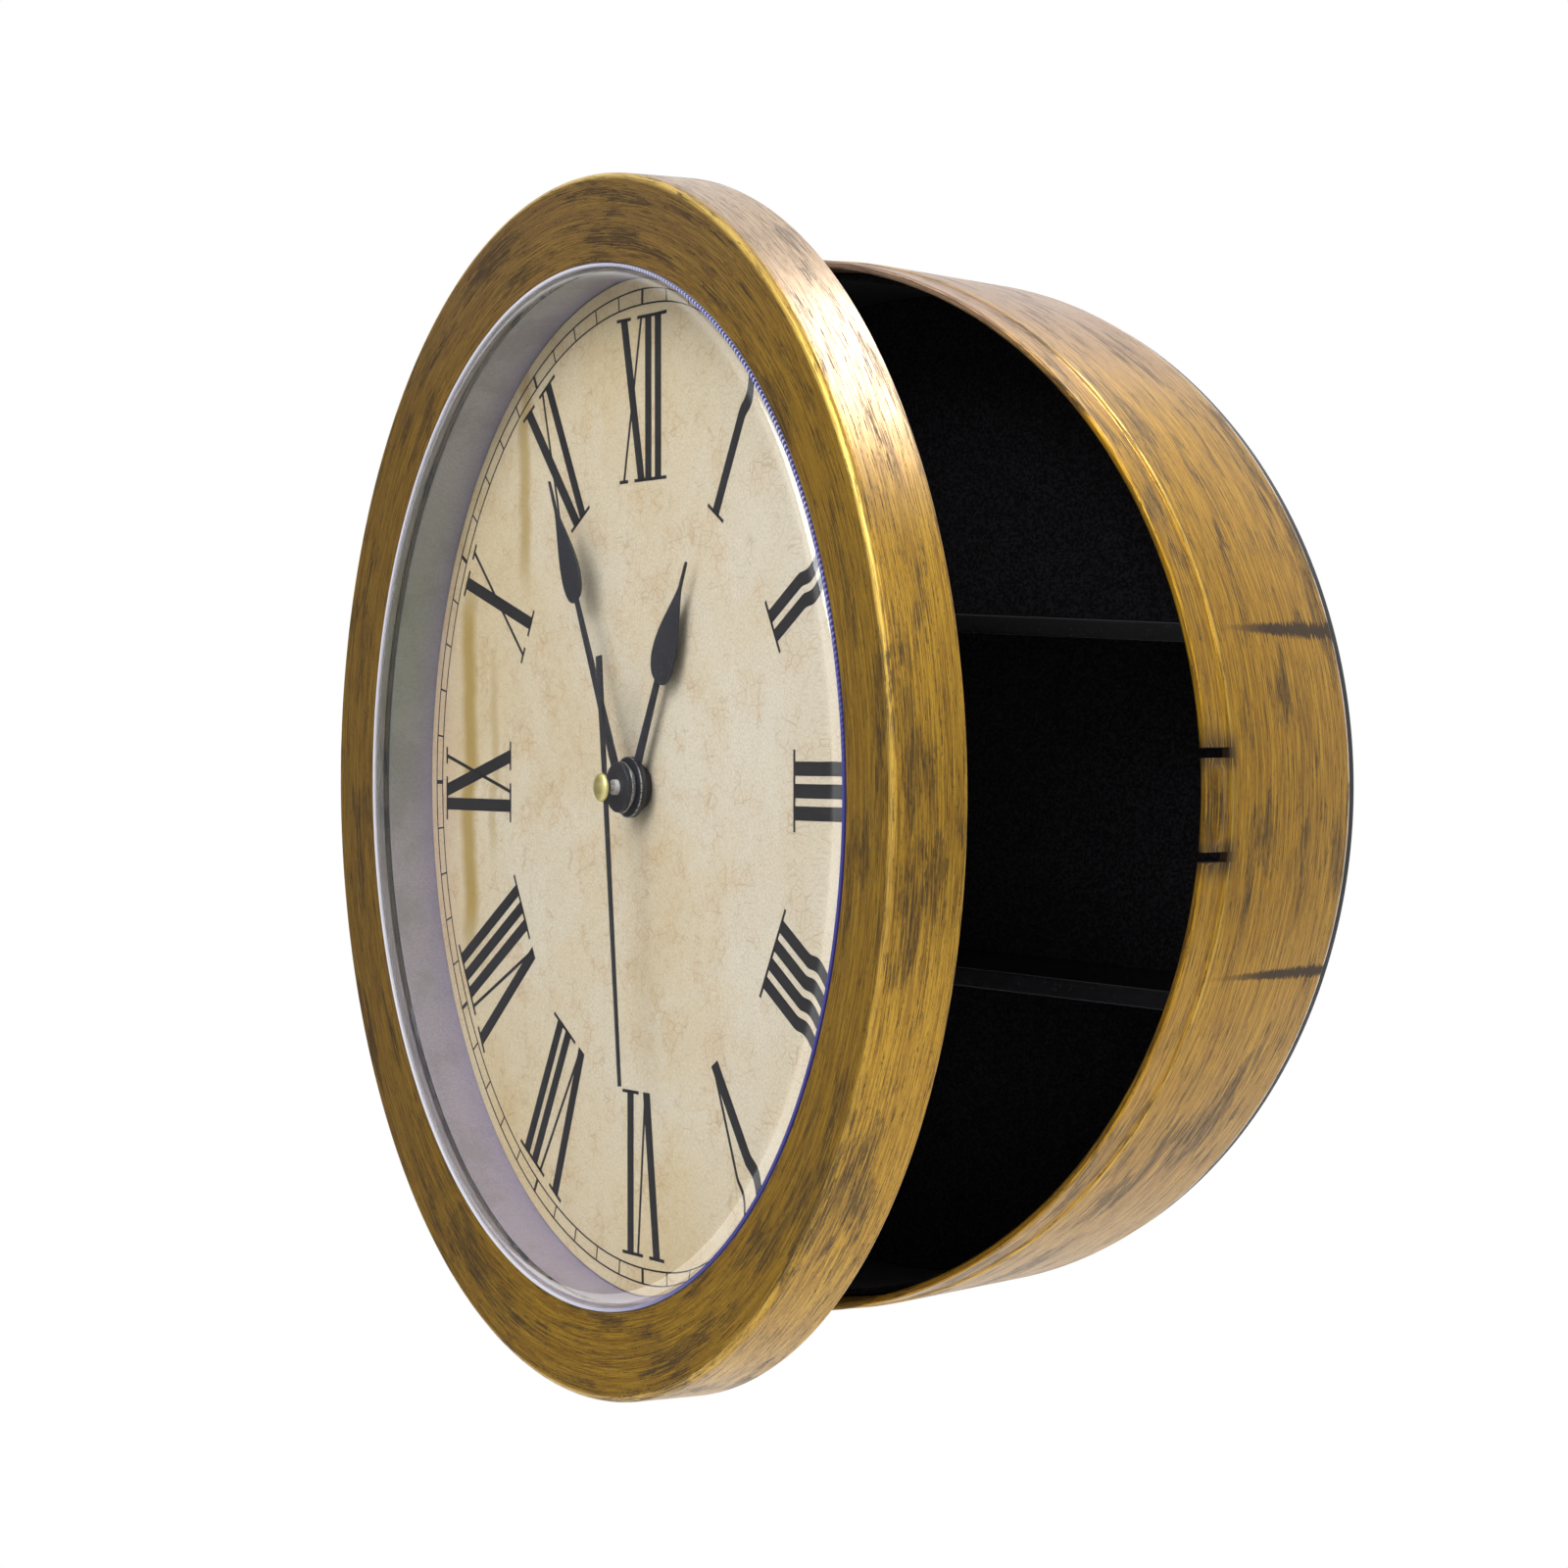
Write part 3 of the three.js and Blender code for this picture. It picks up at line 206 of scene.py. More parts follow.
# Room and light (metres)
FLOOR_RADIUS = 1.25
FLOOR_LEVEL = -0.48
WORLD_LIGHT = 0.68
DARK_WALLS = (
    {"azimuth": -80.0, "core": 13.0, "edge": 40.0, "level": 0.05},
    {"azimuth": 116.0, "core": 8.0, "edge": 58.0, "level": 0.4},
)
LAMP_TARGET = (0, -0.06, 0)
LAMPS = {
    "key": {"azimuth": 78, "elevation": 30, "distance": 1.6, "size": (0.5, 0.5), "power": 3},
    "front": {"azimuth": 0, "elevation": 40, "distance": 1.8, "size": (1.4, 1.0), "power": 23},
    "top": {"azimuth": 148, "elevation": 58, "distance": 1.5, "size": (0.9, 0.35), "power": 17},
}

ROUND = 288
SMALL_ROUND = 48
DEGREES = math.pi / 180
PAIR_GAP = 1e-6


# Placing

def drum_place(points):
    """Front frame (x, y, z) of the drum becomes (x, -z, y), in metres."""
    x, y, z = np.moveaxis(points, -1, 0)
    return np.stack([x, -z, y], axis=-1) / 1000


def door_place(points):
    """Front frame of the door, turned about the upright hinge line by the door's opening angle."""
    x, y, z = np.moveaxis(points, -1, 0)
    turn = DOOR_ANGLE * DEGREES
    out = x - HINGE_X
    up = z - DOOR_HINGE_Z
    front_x = HINGE_X + out * math.cos(turn) - up * math.sin(turn)
    front_z = HINGE_Z + out * math.sin(turn) + up * math.cos(turn)
    return np.stack([front_x, -front_z, y], axis=-1) / 1000


def clockwise(points, angle):
    """Rotation about the z axis, clockwise as seen from the front."""
    turn = -angle * DEGREES
    x, y, z = np.moveaxis(points, -1, 0)
    across = x * math.cos(turn) - y * math.sin(turn)
    up = x * math.sin(turn) + y * math.cos(turn)
    return np.stack([across, up, z], axis=-1)


def clockwise_place(place, angle):
    """A placing that first turns the piece clockwise about the middle."""
    return lambda points: place(clockwise(points, angle))


def hinge_place(place, middle):
    """A placing that stands a piece made round the z axis upright on the hinge line, at a front depth."""
    def stand(points):
        x, y, z = np.moveaxis(points, -1, 0)
        return place(np.stack([HINGE_X + x, z, middle - y], axis=-1))

    return stand


tray_place = clockwise_place(drum_place, TRAY_TURN)


# Meshes

def even_angles(count):
    """Angles in radians spaced evenly round a circle."""
    return np.arange(count) * 2 * math.pi / count


def polar(radius, angle):
    """Points at a radius and an angle in radians."""
    return np.column_stack([radius * np.cos(angle), radius * np.sin(angle)])


def link_object(name, data):
    """A new object in the scene."""
    obj = bpy.data.objects.new(name, data)
    bpy.context.scene.collection.objects.link(obj)
    return obj


def set_brush(mesh, values):
    """Keeps a vector at each point, which the materials paint by."""
    attribute = mesh.attributes.new("brush", "FLOAT_VECTOR", "POINT")
    attribute.data.foreach_set("vector", np.ascontiguousarray(values, dtype=np.float32).ravel())


def signed_volume(points, quads):
    """Sum of the tetrahedra from the origin to each face's triangles, positive where faces look outwards."""
    a, b, c, d = (points[quads[:, k]] for k in range(4))
    return float(np.sum(a * np.cross(b, c)) + np.sum(a * np.cross(c, d)))


def mesh_object(name, points, faces, brush, caps=()):
    """A mesh of quads, and of n-gon caps, whose faces are turned to look outwards."""
    quads = np.asarray(faces)
    if signed_volume(points, quads) + sum(cap_volume(points, cap) for cap in caps) < 0:
        quads = quads[:, ::-1]
        caps = [cap[::-1] for cap in caps]
    mesh = bpy.data.meshes.new(name)
    mesh.from_pydata(points.tolist(), [], quads.tolist() + [list(map(int, cap)) for cap in caps])
    set_brush(mesh, brush)
    mesh.validate()
    tidy_mesh(mesh)
    return link_object(name, mesh)


def cap_volume(points, cap):
    """The signed volume of a cap's fan of triangles."""
    first = points[cap[0]]
    return float(np.sum(first * np.cross(points[cap[1:-1]], points[cap[2:]])))


def tidy_mesh(mesh):
    """Merges doubled points at poles, drops faces without area, and shades smoothly up to 35 degrees."""
    work = bmesh.new()
    work.from_mesh(mesh)
    bmesh.ops.remove_doubles(work, verts=work.verts, dist=1e-7)
    bmesh.ops.dissolve_degenerate(work, edges=work.edges, dist=1e-7)
    work.to_mesh(mesh)
    work.free()
    shade_smooth(mesh)


def shade_smooth(mesh):
    """Smooth shading with sharp edges from 35 degrees on."""
    mesh.polygons.foreach_set("use_smooth", np.ones(len(mesh.polygons), dtype=bool))
    mesh.set_sharp_from_angle(angle=35 * DEGREES)


def grid_faces(rows, columns, close_rows, close_columns):
    """Quads between neighbouring points of a grid, wrapped round where a direction is closed."""
    i = np.arange(rows if close_rows else rows - 1)
    j = np.arange(columns if close_columns else columns - 1)
    a, b = np.meshgrid(i, j, indexing="ij")
    a, b = a.ravel(), b.ravel()
    an, bn = (a + 1) % rows, (b + 1) % columns
    return np.stack([a * columns + b, a * columns + bn, an * columns + bn, an * columns + b], axis=1)


def rounded(corners, steps=5):
    """A closed outline of (x, y, radius) corners, each rounded by an arc that touches both its sides."""
    outline = []
    count = len(corners)
    for k, (x, y, radius) in enumerate(corners):
        here = np.array([x, y])
        before = np.array(corners[k - 1][:2]) - here
        after = np.array(corners[(k + 1) % count][:2]) - here
        before, after = before / np.linalg.norm(before), after / np.linalg.norm(after)
        half = math.acos(np.clip(np.dot(before, after), -1, 1)) / 2
        if radius == 0 or abs(half - math.pi / 2) < 0.01:
            outline.append(here[None])
            continue
        middle = (before + after) / np.linalg.norm(before + after)
        centre = here + middle * radius / math.sin(half)
        start = here + before * radius / math.tan(half) - centre
        end = here + after * radius / math.tan(half) - centre
        t = np.linspace(0, 1, steps + 1)[:, None]
        arc = start * (1 - t) + end * t
        outline.append(centre + arc * radius / np.linalg.norm(arc, axis=1, keepdims=True))
    return np.concatenate(outline)


def box_outline(left, low, right, high, *radii):
    """The corners of a box for rounded(), from left and low by the right, with one rounding or four."""
    near, far, across, above = radii if len(radii) == 4 else radii * 4
    return [(left, low, near), (right, low, far), (right, high, across), (left, high, above)]


def along(profile):
    """Distance run along an outline, at each of its points."""
    steps = np.linalg.norm(np.diff(profile, axis=0), axis=1)
    return np.concatenate([[0], np.cumsum(steps)])


def turned(name, profile, place, segments=ROUND, centre=(0, 0), shape=None, angles=None, closed=True):
    """A (radius, z) profile carried round the z axis; one that isn't closed ends in poles on the axis.

    shape(radius, z, angle) may change the profile from angle to angle. The brush attribute holds x, y and
    the distance along the profile, so that brushed streaks can run round the piece.
    """
    if angles is None:
        angles = even_angles(segments)
    radius, z = (np.broadcast_to(profile[:, k], (len(angles), len(profile))) for k in range(2))
    angle = np.broadcast_to(angles[:, None], radius.shape)
    if shape is not None:
        radius, z = shape(radius, z, angle)
    x, y = radius * np.cos(angle), radius * np.sin(angle)
    local = np.stack([x + centre[0], y + centre[1], z], axis=-1).reshape(-1, 3)
    run = np.broadcast_to(along(profile), x.shape)
    brush = np.stack([x, y, run], axis=-1).reshape(-1, 3)
    return mesh_object(name, place(local), grid_faces(len(angles), len(profile), True, closed), brush)


def turned_solid(name, profile, place, segments=SMALL_ROUND):
    """A (radius, z) profile from axis to axis carried round the z axis."""
    return turned(name, np.asarray(profile), place, segments, closed=False)


def band(name, inner, outer, back, front, radii, place, segments=ROUND, steps=5):
    """A ring of rectangular section with rounded corners."""
    return turned(name, rounded(box_outline(inner, back, outer, front, *radii), steps), place, segments)


def swept(name, sections, place):
    """A stack of closed sections, each the same number of points, joined in turn and capped at both ends."""
    rows, columns = sections.shape[:2]
    points = place(sections.reshape(-1, 3))
    first = np.arange(columns)
    last = (rows - 1) * columns + np.arange(columns)
    faces = grid_faces(rows, columns, False, True)
    return mesh_object(name, points, faces, sections.reshape(-1, 3), caps=[first, last[::-1]])


def block(name, corners, low, high, place, axis=1):
    """A rounded outline carried from low to high along one axis."""
    outline = rounded(corners)
    ends = np.array([low, high])
    levels = np.broadcast_to(ends[:, None], (2, len(outline)))
    across = np.broadcast_to(outline[None], (2, *outline.shape))
    order = {0: (levels, across[..., 0], across[..., 1]), 1: (across[..., 0], levels, across[..., 1]),
             2: (across[..., 0], across[..., 1], levels)}[axis]
    return swept(name, np.stack(order, axis=-1), place)


def cut_out(name, outlines, back, front, place, bevel=0.0):
    """Flat outlines, holes among them, filled and raised from back to front as one sheet."""
    curve = bpy.data.curves.new(name, "CURVE")
    curve.dimensions = "2D"
    curve.fill_mode = "BOTH"
    curve.extrude = (front - back) / 2 - bevel
    curve.bevel_depth = bevel
    curve.offset = -bevel
    for outline in outlines:
        spline = curve.splines.new("POLY")
        spline.points.add(len(outline) - 1)
        flat = np.column_stack([outline, np.zeros(len(outline)), np.ones(len(outline))])
        spline.points.foreach_set("co", flat.ravel())
        spline.use_cyclic_u = True
    holder = link_object(name + "_outline", curve)
    bpy.context.view_layer.update()
    mesh = bpy.data.meshes.new_from_object(holder.evaluated_get(bpy.context.evaluated_depsgraph_get()))
    bpy.data.objects.remove(holder)
    bpy.data.curves.remove(curve)
    local = np.empty(len(mesh.vertices) * 3)
    mesh.vertices.foreach_get("co", local)
    local = local.reshape(-1, 3)
    local[:, 2] += (front + back) / 2
    set_brush(mesh, local)
    mesh.vertices.foreach_set("co", place(local).ravel())
    mesh.name = name
    tidy_mesh(mesh)
    return link_object(name, mesh)


def circle(radius, segments=SMALL_ROUND, centre=(0, 0)):
    """Points of a circle."""
    return polar(radius, even_angles(segments)) + centre


def spaced(radius, count, first):
    """Places spaced evenly on a circle."""
    return polar(radius, first * DEGREES + even_angles(count))


# Materials

def linear(red, green, blue):
    """A colour written as it looks on screen, from 0 to 255, made linear."""
    value = np.array([red, green, blue]) / 255
    value = np.where(value <= 0.04045, value / 12.92, ((value + 0.055) / 1.055) ** 2.4)
    return (*value, 1.0)


class Nodes:
    """A short way to lay out the nodes of a material, or of the world that is given as owner."""

    def __init__(self, name, owner=None):
        self.material = owner or bpy.data.materials.new(name)
        self.material.use_nodes = True
        self.tree = self.material.node_tree
        self.shader = self.tree.nodes["Background" if owner else "Principled BSDF"]

    def link(self, source, target):
        self.tree.links.new(source, target)

    def put(self, target, value):
        if hasattr(value, "links"):
            self.link(value, target)
        else:
            target.default_value = value

    def add(self, kind, **inputs):
        """A node whose inputs are linked or set by name, with _ for each space."""
        node = self.tree.nodes.new(kind)
        for name, value in inputs.items():
            self.put(node.inputs[name.replace("_", " ")], value)
        return node

    def attribute(self, name):
        node = self.add("ShaderNodeAttribute")
        node.attribute_name = name
        return node.outputs["Vector"]

    def object_coordinates(self):
        return self.add("ShaderNodeTexCoord").outputs["Object"]

    def millimetres(self):
        """Width, distance from the wall and height in the drum's frame."""
        return self.parts(self.scaled(self.object_coordinates(), (1000, -1000, 1000)))

    def scaled(self, vector, scale, location=(0, 0, 0)):
        return self.add("ShaderNodeMapping", Vector=vector, Scale=scale, Location=location).outputs["Vector"]

    def noise(self, vector, scale=1.0, detail=3.0, roughness=0.5, distortion=0.0):
        node = self.add("ShaderNodeTexNoise", Vector=vector, Scale=scale, Detail=detail, Roughness=roughness,
                        Distortion=distortion)
        return node.outputs["Fac"]

    def voronoi(self, vector, scale, feature="F1"):
        node = self.add("ShaderNodeTexVoronoi", Vector=vector, Scale=scale)
        node.feature = feature
        return node.outputs["Distance"]

    def math(self, operation, a, b=0.0, clamp=False):
        node = self.add("ShaderNodeMath")
        node.operation = operation
        node.use_clamp = clamp
        self.put(node.inputs[0], a)
        self.put(node.inputs[1], b)
        return node.outputs[0]

    def times(self, first, *others):
        for other in others:
            first = self.math("MULTIPLY", first, other)
        return first

    def plus(self, a, b):
        return self.math("ADD", a, b)

    def larger(self, a, b, clamp=False):
        return self.math("MAXIMUM", a, b, clamp)

    def apart(self, a, b):
        return self.math("ABSOLUTE", self.math("SUBTRACT", a, b))

    def from_middle(self, x, y):
        return self.math("SQRT", self.plus(self.times(x, x), self.times(y, y)))

    def span(self, value, low, high, to_low=0.0, to_high=1.0):
        """A smooth step between two values of the input, from to_low to to_high."""
        node = self.add("ShaderNodeMapRange", Value=value, From_Min=low, From_Max=high, To_Min=to_low,
                        To_Max=to_high)
        node.interpolation_type = "SMOOTHSTEP"
        return node.outputs["Result"]

    def mix(self, share, first, second):
        node = self.add("ShaderNodeMix")
        node.data_type = "RGBA"
        self.put(node.inputs["Factor"], share)
        colours = [socket for socket in node.inputs if socket.type == "RGBA"]
        self.put(colours[0], first)
        self.put(colours[1], second)
        return next(socket for socket in node.outputs if socket.type == "RGBA")

    def tint(self, colour, share, *shade):
        """The colour with a share of a shade that is written as it looks on screen."""
        return self.mix(share, colour, linear(*shade))

    def parts(self, vector):
        return self.add("ShaderNodeSeparateXYZ", Vector=vector).outputs

    def bump(self, height, strength, distance=0.0002):
        node = self.add("ShaderNodeBump", Strength=strength, Distance=distance, Height=height)
        self.link(node.outputs["Normal"], self.shader.inputs["Normal"])

    def cover(self, share, shader):
        """Mixes a second shader over the first by a share."""
        blend = self.add("ShaderNodeMixShader")
        for socket, value in zip(blend.inputs, (share, self.shader.outputs[0], shader)):
            self.link(value, socket)
        self.link(blend.outputs[0], self.tree.nodes["Material Output"].inputs["Surface"])

    def set(self, **values):
        for name, value in values.items():
            self.put(self.shader.inputs[name.replace("_", " ")], value)


def antique_gold(name, light, deep, hair=0.9, mottle=0.25, on_drum=False, on_ring=False):
    """Gold paint brushed with dark hairlines that run round the piece and gather in soft patches.

    hair is how dark the hairlines are, mottle how brown the small flecks. The ring has painted shade towards
    its hinge, where it is browner, a greyer painted reflection on top, a painted highlight in lighter gold
    along its front edge and a paler painted highlight on the upper band. The drum has a greyer painted
    reflection on top too, a painted highlight on the step behind its lip and along its back edge, two lines
    of short dark fibres across it, dark paint left round the latch slots, and painted shade inside them.
    """
    n = Nodes(name)
    brush = n.attribute("brush")
    grain = n.noise(n.scaled(brush, (0.9, 0.9, 2.6), (5, 5, 5)), 1.0, 3.0, 0.7)
    hairs = n.noise(n.scaled(brush, (0.11, 0.11, 3.8)), 1.0, 3.0, 0.66, 0.1)
    fine = n.noise(n.scaled(brush, (0.11, 0.11, 6.0), (7, 3, 1)), 1.0, 2.0, 0.65)
    long = n.noise(n.scaled(brush, (0.03, 0.03, 1.8), (4, 8, 2)), 1.0, 3.0, 0.6)
    patches = n.noise(n.scaled(brush, (0.035, 0.035, 0.15), (2, 5, 0)), 1.0, 4.0, 0.65, 0.4)
    gathered = n.span(patches, 0.48, 0.66)
    lift = n.times(gathered, 0.11)
    streaks = n.span(n.plus(n.plus(hairs, lift), n.times(grain, 0.2)), 0.675, 0.745)
    wisps = n.span(n.plus(fine, lift), 0.52, 0.64)
    dark = n.larger(n.times(streaks, hair), n.times(wisps, hair * 0.67), clamp=True)
    gold = n.mix(n.span(long, 0.36, 0.62), light, deep)
    gold = n.tint(gold, n.span(fine, 0.46, 0.3, 0.0, 0.7), 202, 164, 66)
    gold = n.tint(gold, n.times(gathered, 0.25), 98, 76, 48)
    gold = n.tint(gold, n.times(n.span(grain, 0.52, 0.68), mottle), 100, 76, 42)
    if on_ring:
        x, y, run = n.parts(brush)
        # painted shade: the ring darker and browner towards its hinge side
        gold = n.tint(gold, n.span(x, 0.0, -110.0, 0.0, 0.4), 96, 76, 60)
        # painted reflection: the ring greyer and violet on top, where the band mirrors the white surround
        gold = n.tint(gold, n.span(y, 70.0, 118.0, 0.0, 0.35), 124, 106, 98)
        # painted highlight: lighter gold along the front edge, strongest towards the top
        wear_and_highlight = n.times(n.span(n.apart(run, RING_EDGE_RUN), 1.2, 0.2), n.span(long, 0.3, 0.55, 0.4, 0.7),
                       n.span(y, -40.0, 70.0, 0.25, 1.0))
        gold = n.tint(gold, wear_and_highlight, 230, 194, 96)
        # painted highlight: a paler, greyer gold on the upper band
        band_highlight = n.times(n.span(run, RING_EDGE_RUN - 0.6, RING_EDGE_RUN - 2.5), n.span(y, 40.0, 85.0))
        gold = n.tint(gold, n.times(band_highlight, 0.5), 182, 166, 156)
    if on_drum:
        _, y, z = n.millimetres()
        # painted reflection: the drum wall greyer and violet on top
        gold = n.tint(gold, n.span(z, 70.0, 108.0, 0.0, 0.5), 150, 136, 146)
        # painted highlight: a near-white line along the back edge
        gold = n.tint(gold, n.span(y, 3.3, 3.0, 0.0, 0.75), 226, 214, 204)
        # painted highlight: a line of lighter gold on the step behind the lip
        crease_highlight = n.span(n.apart(y, LIP_FRONT - LIP_LENGTH), 0.45, 0.1)
        gold = n.tint(gold, n.times(crease_highlight, 0.5), 214, 182, 96)
        dark = n.larger(dark, drum_marks(n, hairs), clamp=True)
    colour = n.mix(n.times(dark, 0.92), gold, linear(46, 38, 34))
    n.set(Base_Color=colour, Metallic=0.55, Roughness=n.span(dark, 0.0, 1.0, 0.3, 0.5),
          Specular_IOR_Level=0.28)
    n.bump(n.plus(hairs, fine), 0.25, 0.0001)
    return n.material


def drum_marks(n, hairs):
    """How dark the two cross lines, the slots' smudges and the painted shade inside the slots are, over
    height and distance from the wall.
    """
    x, y, z = n.millimetres()
    right = n.span(x, 0.0, 20.0)
    ragged = n.math("SUBTRACT", n.times(hairs, 2.8), 0.65)
    marks = 0.0
    for mark in CROSS_LINES:
        start, end = mark["start"], mark["end"]
        reach = n.times(n.plus(n.times(n.span(y, start, end), mark["widest"]), 0.35), ragged)
        line = n.span(n.math("SUBTRACT", n.apart(z, mark["height"]), reach), 0.35, -0.1)
        marks = n.larger(marks, n.times(line, n.span(y, start + 2, end + 16)))
    front = n.span(y, 42.0, 46.0)
    for height in LATCH_SLOTS:
        away = n.apart(z, height)
        smudge_and_slot_shade = n.times(n.span(away, 6.5, 1.0), n.span(hairs, 0.3, 0.55))
        # painted shade: fully dark inside each slot and on the wall just behind its end
        smudge_and_slot_shade = n.larger(smudge_and_slot_shade, n.span(away, 1.15, 1.0))
        marks = n.larger(marks, n.times(smudge_and_slot_shade, front))
    low, high = LATCH_SLOTS
    tab = n.times(n.span(z, low, low + 1.5), n.span(z, high, high - 1.5), front,
                  n.span(hairs, 0.3, 0.7, 0.1, 0.6))
    return n.times(n.larger(marks, tab), right)


def flock():
    """Black flocking: short fibres that catch a little light, with faint lighter specks."""
    n = Nodes("black_flock")
    place = n.object_coordinates()
    fibres = n.noise(place, 1800.0, 2.0, 0.6)
    specks = n.span(n.voronoi(place, 700.0), 0.10, 0.02)
    colour = n.mix(n.span(fibres, 0.35, 0.7), linear(8, 8, 10), linear(34, 32, 36))
    colour = n.tint(colour, n.times(specks, 0.5), 88, 86, 90)
    n.set(Base_Color=colour, Roughness=0.95, Sheen_Weight=0.02, Specular_IOR_Level=0.1)
    n.bump(fibres, 0.5, 0.0003)
    return n.material


def gloss_black():
    """Glossy black moulding, slightly uneven, with fine dust."""
    n = Nodes("gloss_black")
    place = n.object_coordinates()
    waves = n.noise(place, 60.0, 2.0)
    dust = n.span(n.noise(place, 1500.0, 1.0), 0.68, 0.78)
    colour = n.mix(n.times(dust, 0.3), linear(14, 14, 16), linear(70, 70, 72))
    n.set(Base_Color=colour, Roughness=n.span(waves, 0.3, 0.7, 0.12, 0.24), Specular_IOR_Level=0.3)
    n.bump(waves, 0.05, 0.0005)
    return n.material


def moulded(name, dark, light, roughness=0.5, grain=900.0, strength=0.15):
    """Moulded plastic: a fine even grain with a slow drift of tone."""
    n = Nodes(name)
    place = n.object_coordinates()
    slow = n.noise(place, 25.0, 2.0)
    fine = n.noise(place, grain, 3.0)
    n.set(Base_Color=n.mix(slow, linear(*dark), linear(*light)),
          Roughness=n.span(fine, 0.3, 0.7, roughness - 0.08, roughness + 0.08))
    n.bump(fine, strength, 0.0001)
    return n.material


def satin_metal(name, dark, light, roughness=0.3):
    """Plated or turned metal with fine scratches."""
    n = Nodes(name)
    place = n.object_coordinates()
    scratches = n.noise(n.scaled(place, (300, 300, 2500)), 1.0, 3.0)
    n.set(Base_Color=n.mix(scratches, linear(*dark), linear(*light)), Metallic=1.0,
          Roughness=n.span(scratches, 0.3, 0.7, roughness - 0.08, roughness + 0.08))
    n.bump(scratches, 0.08, 0.00005)
    return n.material


def dial_paper():
    """Aged parchment: a cream ground, soft ochre stains and streaks, specks, and fine dry cracks."""
    n = Nodes("dial_paper")
    place = n.scaled(n.attribute("brush"), (1, 1, 0))
    x, y, _ = n.parts(place)
    clouds = n.noise(place, 0.022, 4.0, 0.6, 0.5)
    mottle = n.noise(n.scaled(place, (1, 1, 1), (30, 10, 0)), 0.09, 4.0, 0.65)
    small = n.noise(n.scaled(place, (1, 1, 1), (12, 50, 0)), 0.4, 4.0, 0.7)
    grain = n.noise(place, 1.6, 3.0, 0.75)
    radius = n.from_middle(x, y)
    colour = n.mix(n.span(clouds, 0.35, 0.65), linear(214, 205, 184), linear(208, 192, 160))
    colour = n.tint(colour, n.span(mottle, 0.48, 0.7, 0.0, 0.45), 204, 172, 130)
    colour = n.tint(colour, n.span(small, 0.5, 0.75, 0.0, 0.35), 188, 160, 116)
    colour = n.tint(colour, n.span(small, 0.45, 0.3, 0.0, 0.4), 222, 214, 196)
    colour = n.tint(colour, n.span(radius, 50.0, 106.0, 0.0, 0.42), 206, 182, 128)
    colour = n.tint(colour, n.span(x, 10.0, 80.0, 0.0, 0.4), 216, 212, 202)
    wander = n.noise(n.scaled(place, (0.0, 0.05, 0.0)), 1.0, 3.0)
    wander = n.times(n.math("SUBTRACT", wander, 0.5), 9.0)
    for streak in OCHRE_STREAKS:
        half, low, high = streak["half"], streak["low"], streak["high"]
        across = n.apart(n.plus(x, wander), streak["centre"])
        ends = n.times(n.span(y, low, low + 16), n.span(y, high, high - 16))
        stain = n.times(n.span(across, half, half * 0.2), ends)
        colour = n.tint(colour, n.times(stain, streak["strength"]), 164, 136, 60)
    colour = n.tint(colour, n.span(x, -84.0, -102.0, 0.0, 0.4), 196, 168, 156)
    warped = n.scaled(place, (1, 1.25, 0), (3, 9, 0))
    cells = n.voronoi(warped, 0.3, "DISTANCE_TO_EDGE")
    lines = n.times(n.span(cells, 0.05, 0.012), n.span(mottle, 0.44, 0.6))
    colour = n.tint(colour, n.times(lines, 0.3), 136, 116, 82)
    ragged = n.span(n.noise(n.scaled(place, (1, 1, 0), (70, 20, 0)), 0.5, 5.0, 0.8), 0.655, 0.69)
    colour = n.tint(colour, n.times(ragged, 0.45), 150, 124, 84)
    specks = n.times(n.span(n.voronoi(place, 0.35), 0.10, 0.04), n.span(clouds, 0.45, 0.6))
    colour = n.tint(colour, n.times(specks, 0.5), 126, 104, 66)
    colour = n.tint(colour, n.span(grain, 0.6, 0.35, 0.0, 0.32), 160, 146, 116)
    n.set(Base_Color=colour, Roughness=0.82, Specular_IOR_Level=0.25)
    n.bump(grain, 0.12, 0.0001)
    return n.material


def ink():
    """Black printing ink with faint wear."""
    n = Nodes("ink")
    wear = n.noise(n.attribute("brush"), 1.1, 3.0, 0.7)
    n.set(Base_Color=n.tint(linear(18, 17, 22), n.span(wear, 0.55, 0.8), 42, 40, 42), Roughness=0.6)
    return n.material


def hand_paint():
    """Satin black paint on thin stamped metal."""
    n = Nodes("hand_black")
    fine = n.noise(n.object_coordinates(), 2500.0, 2.0)
    specks = n.span(n.noise(n.object_coordinates(), 1800.0, 3.0, 0.7), 0.6, 0.72)
    colour = n.mix(fine, linear(28, 29, 36), linear(42, 43, 52))
    n.set(Base_Color=n.mix(n.times(specks, 0.6), colour, linear(112, 112, 122)),
          Roughness=n.span(fine, 0.3, 0.7, 0.36, 0.46))
    n.bump(fine, 0.1, 0.00005)
    return n.material


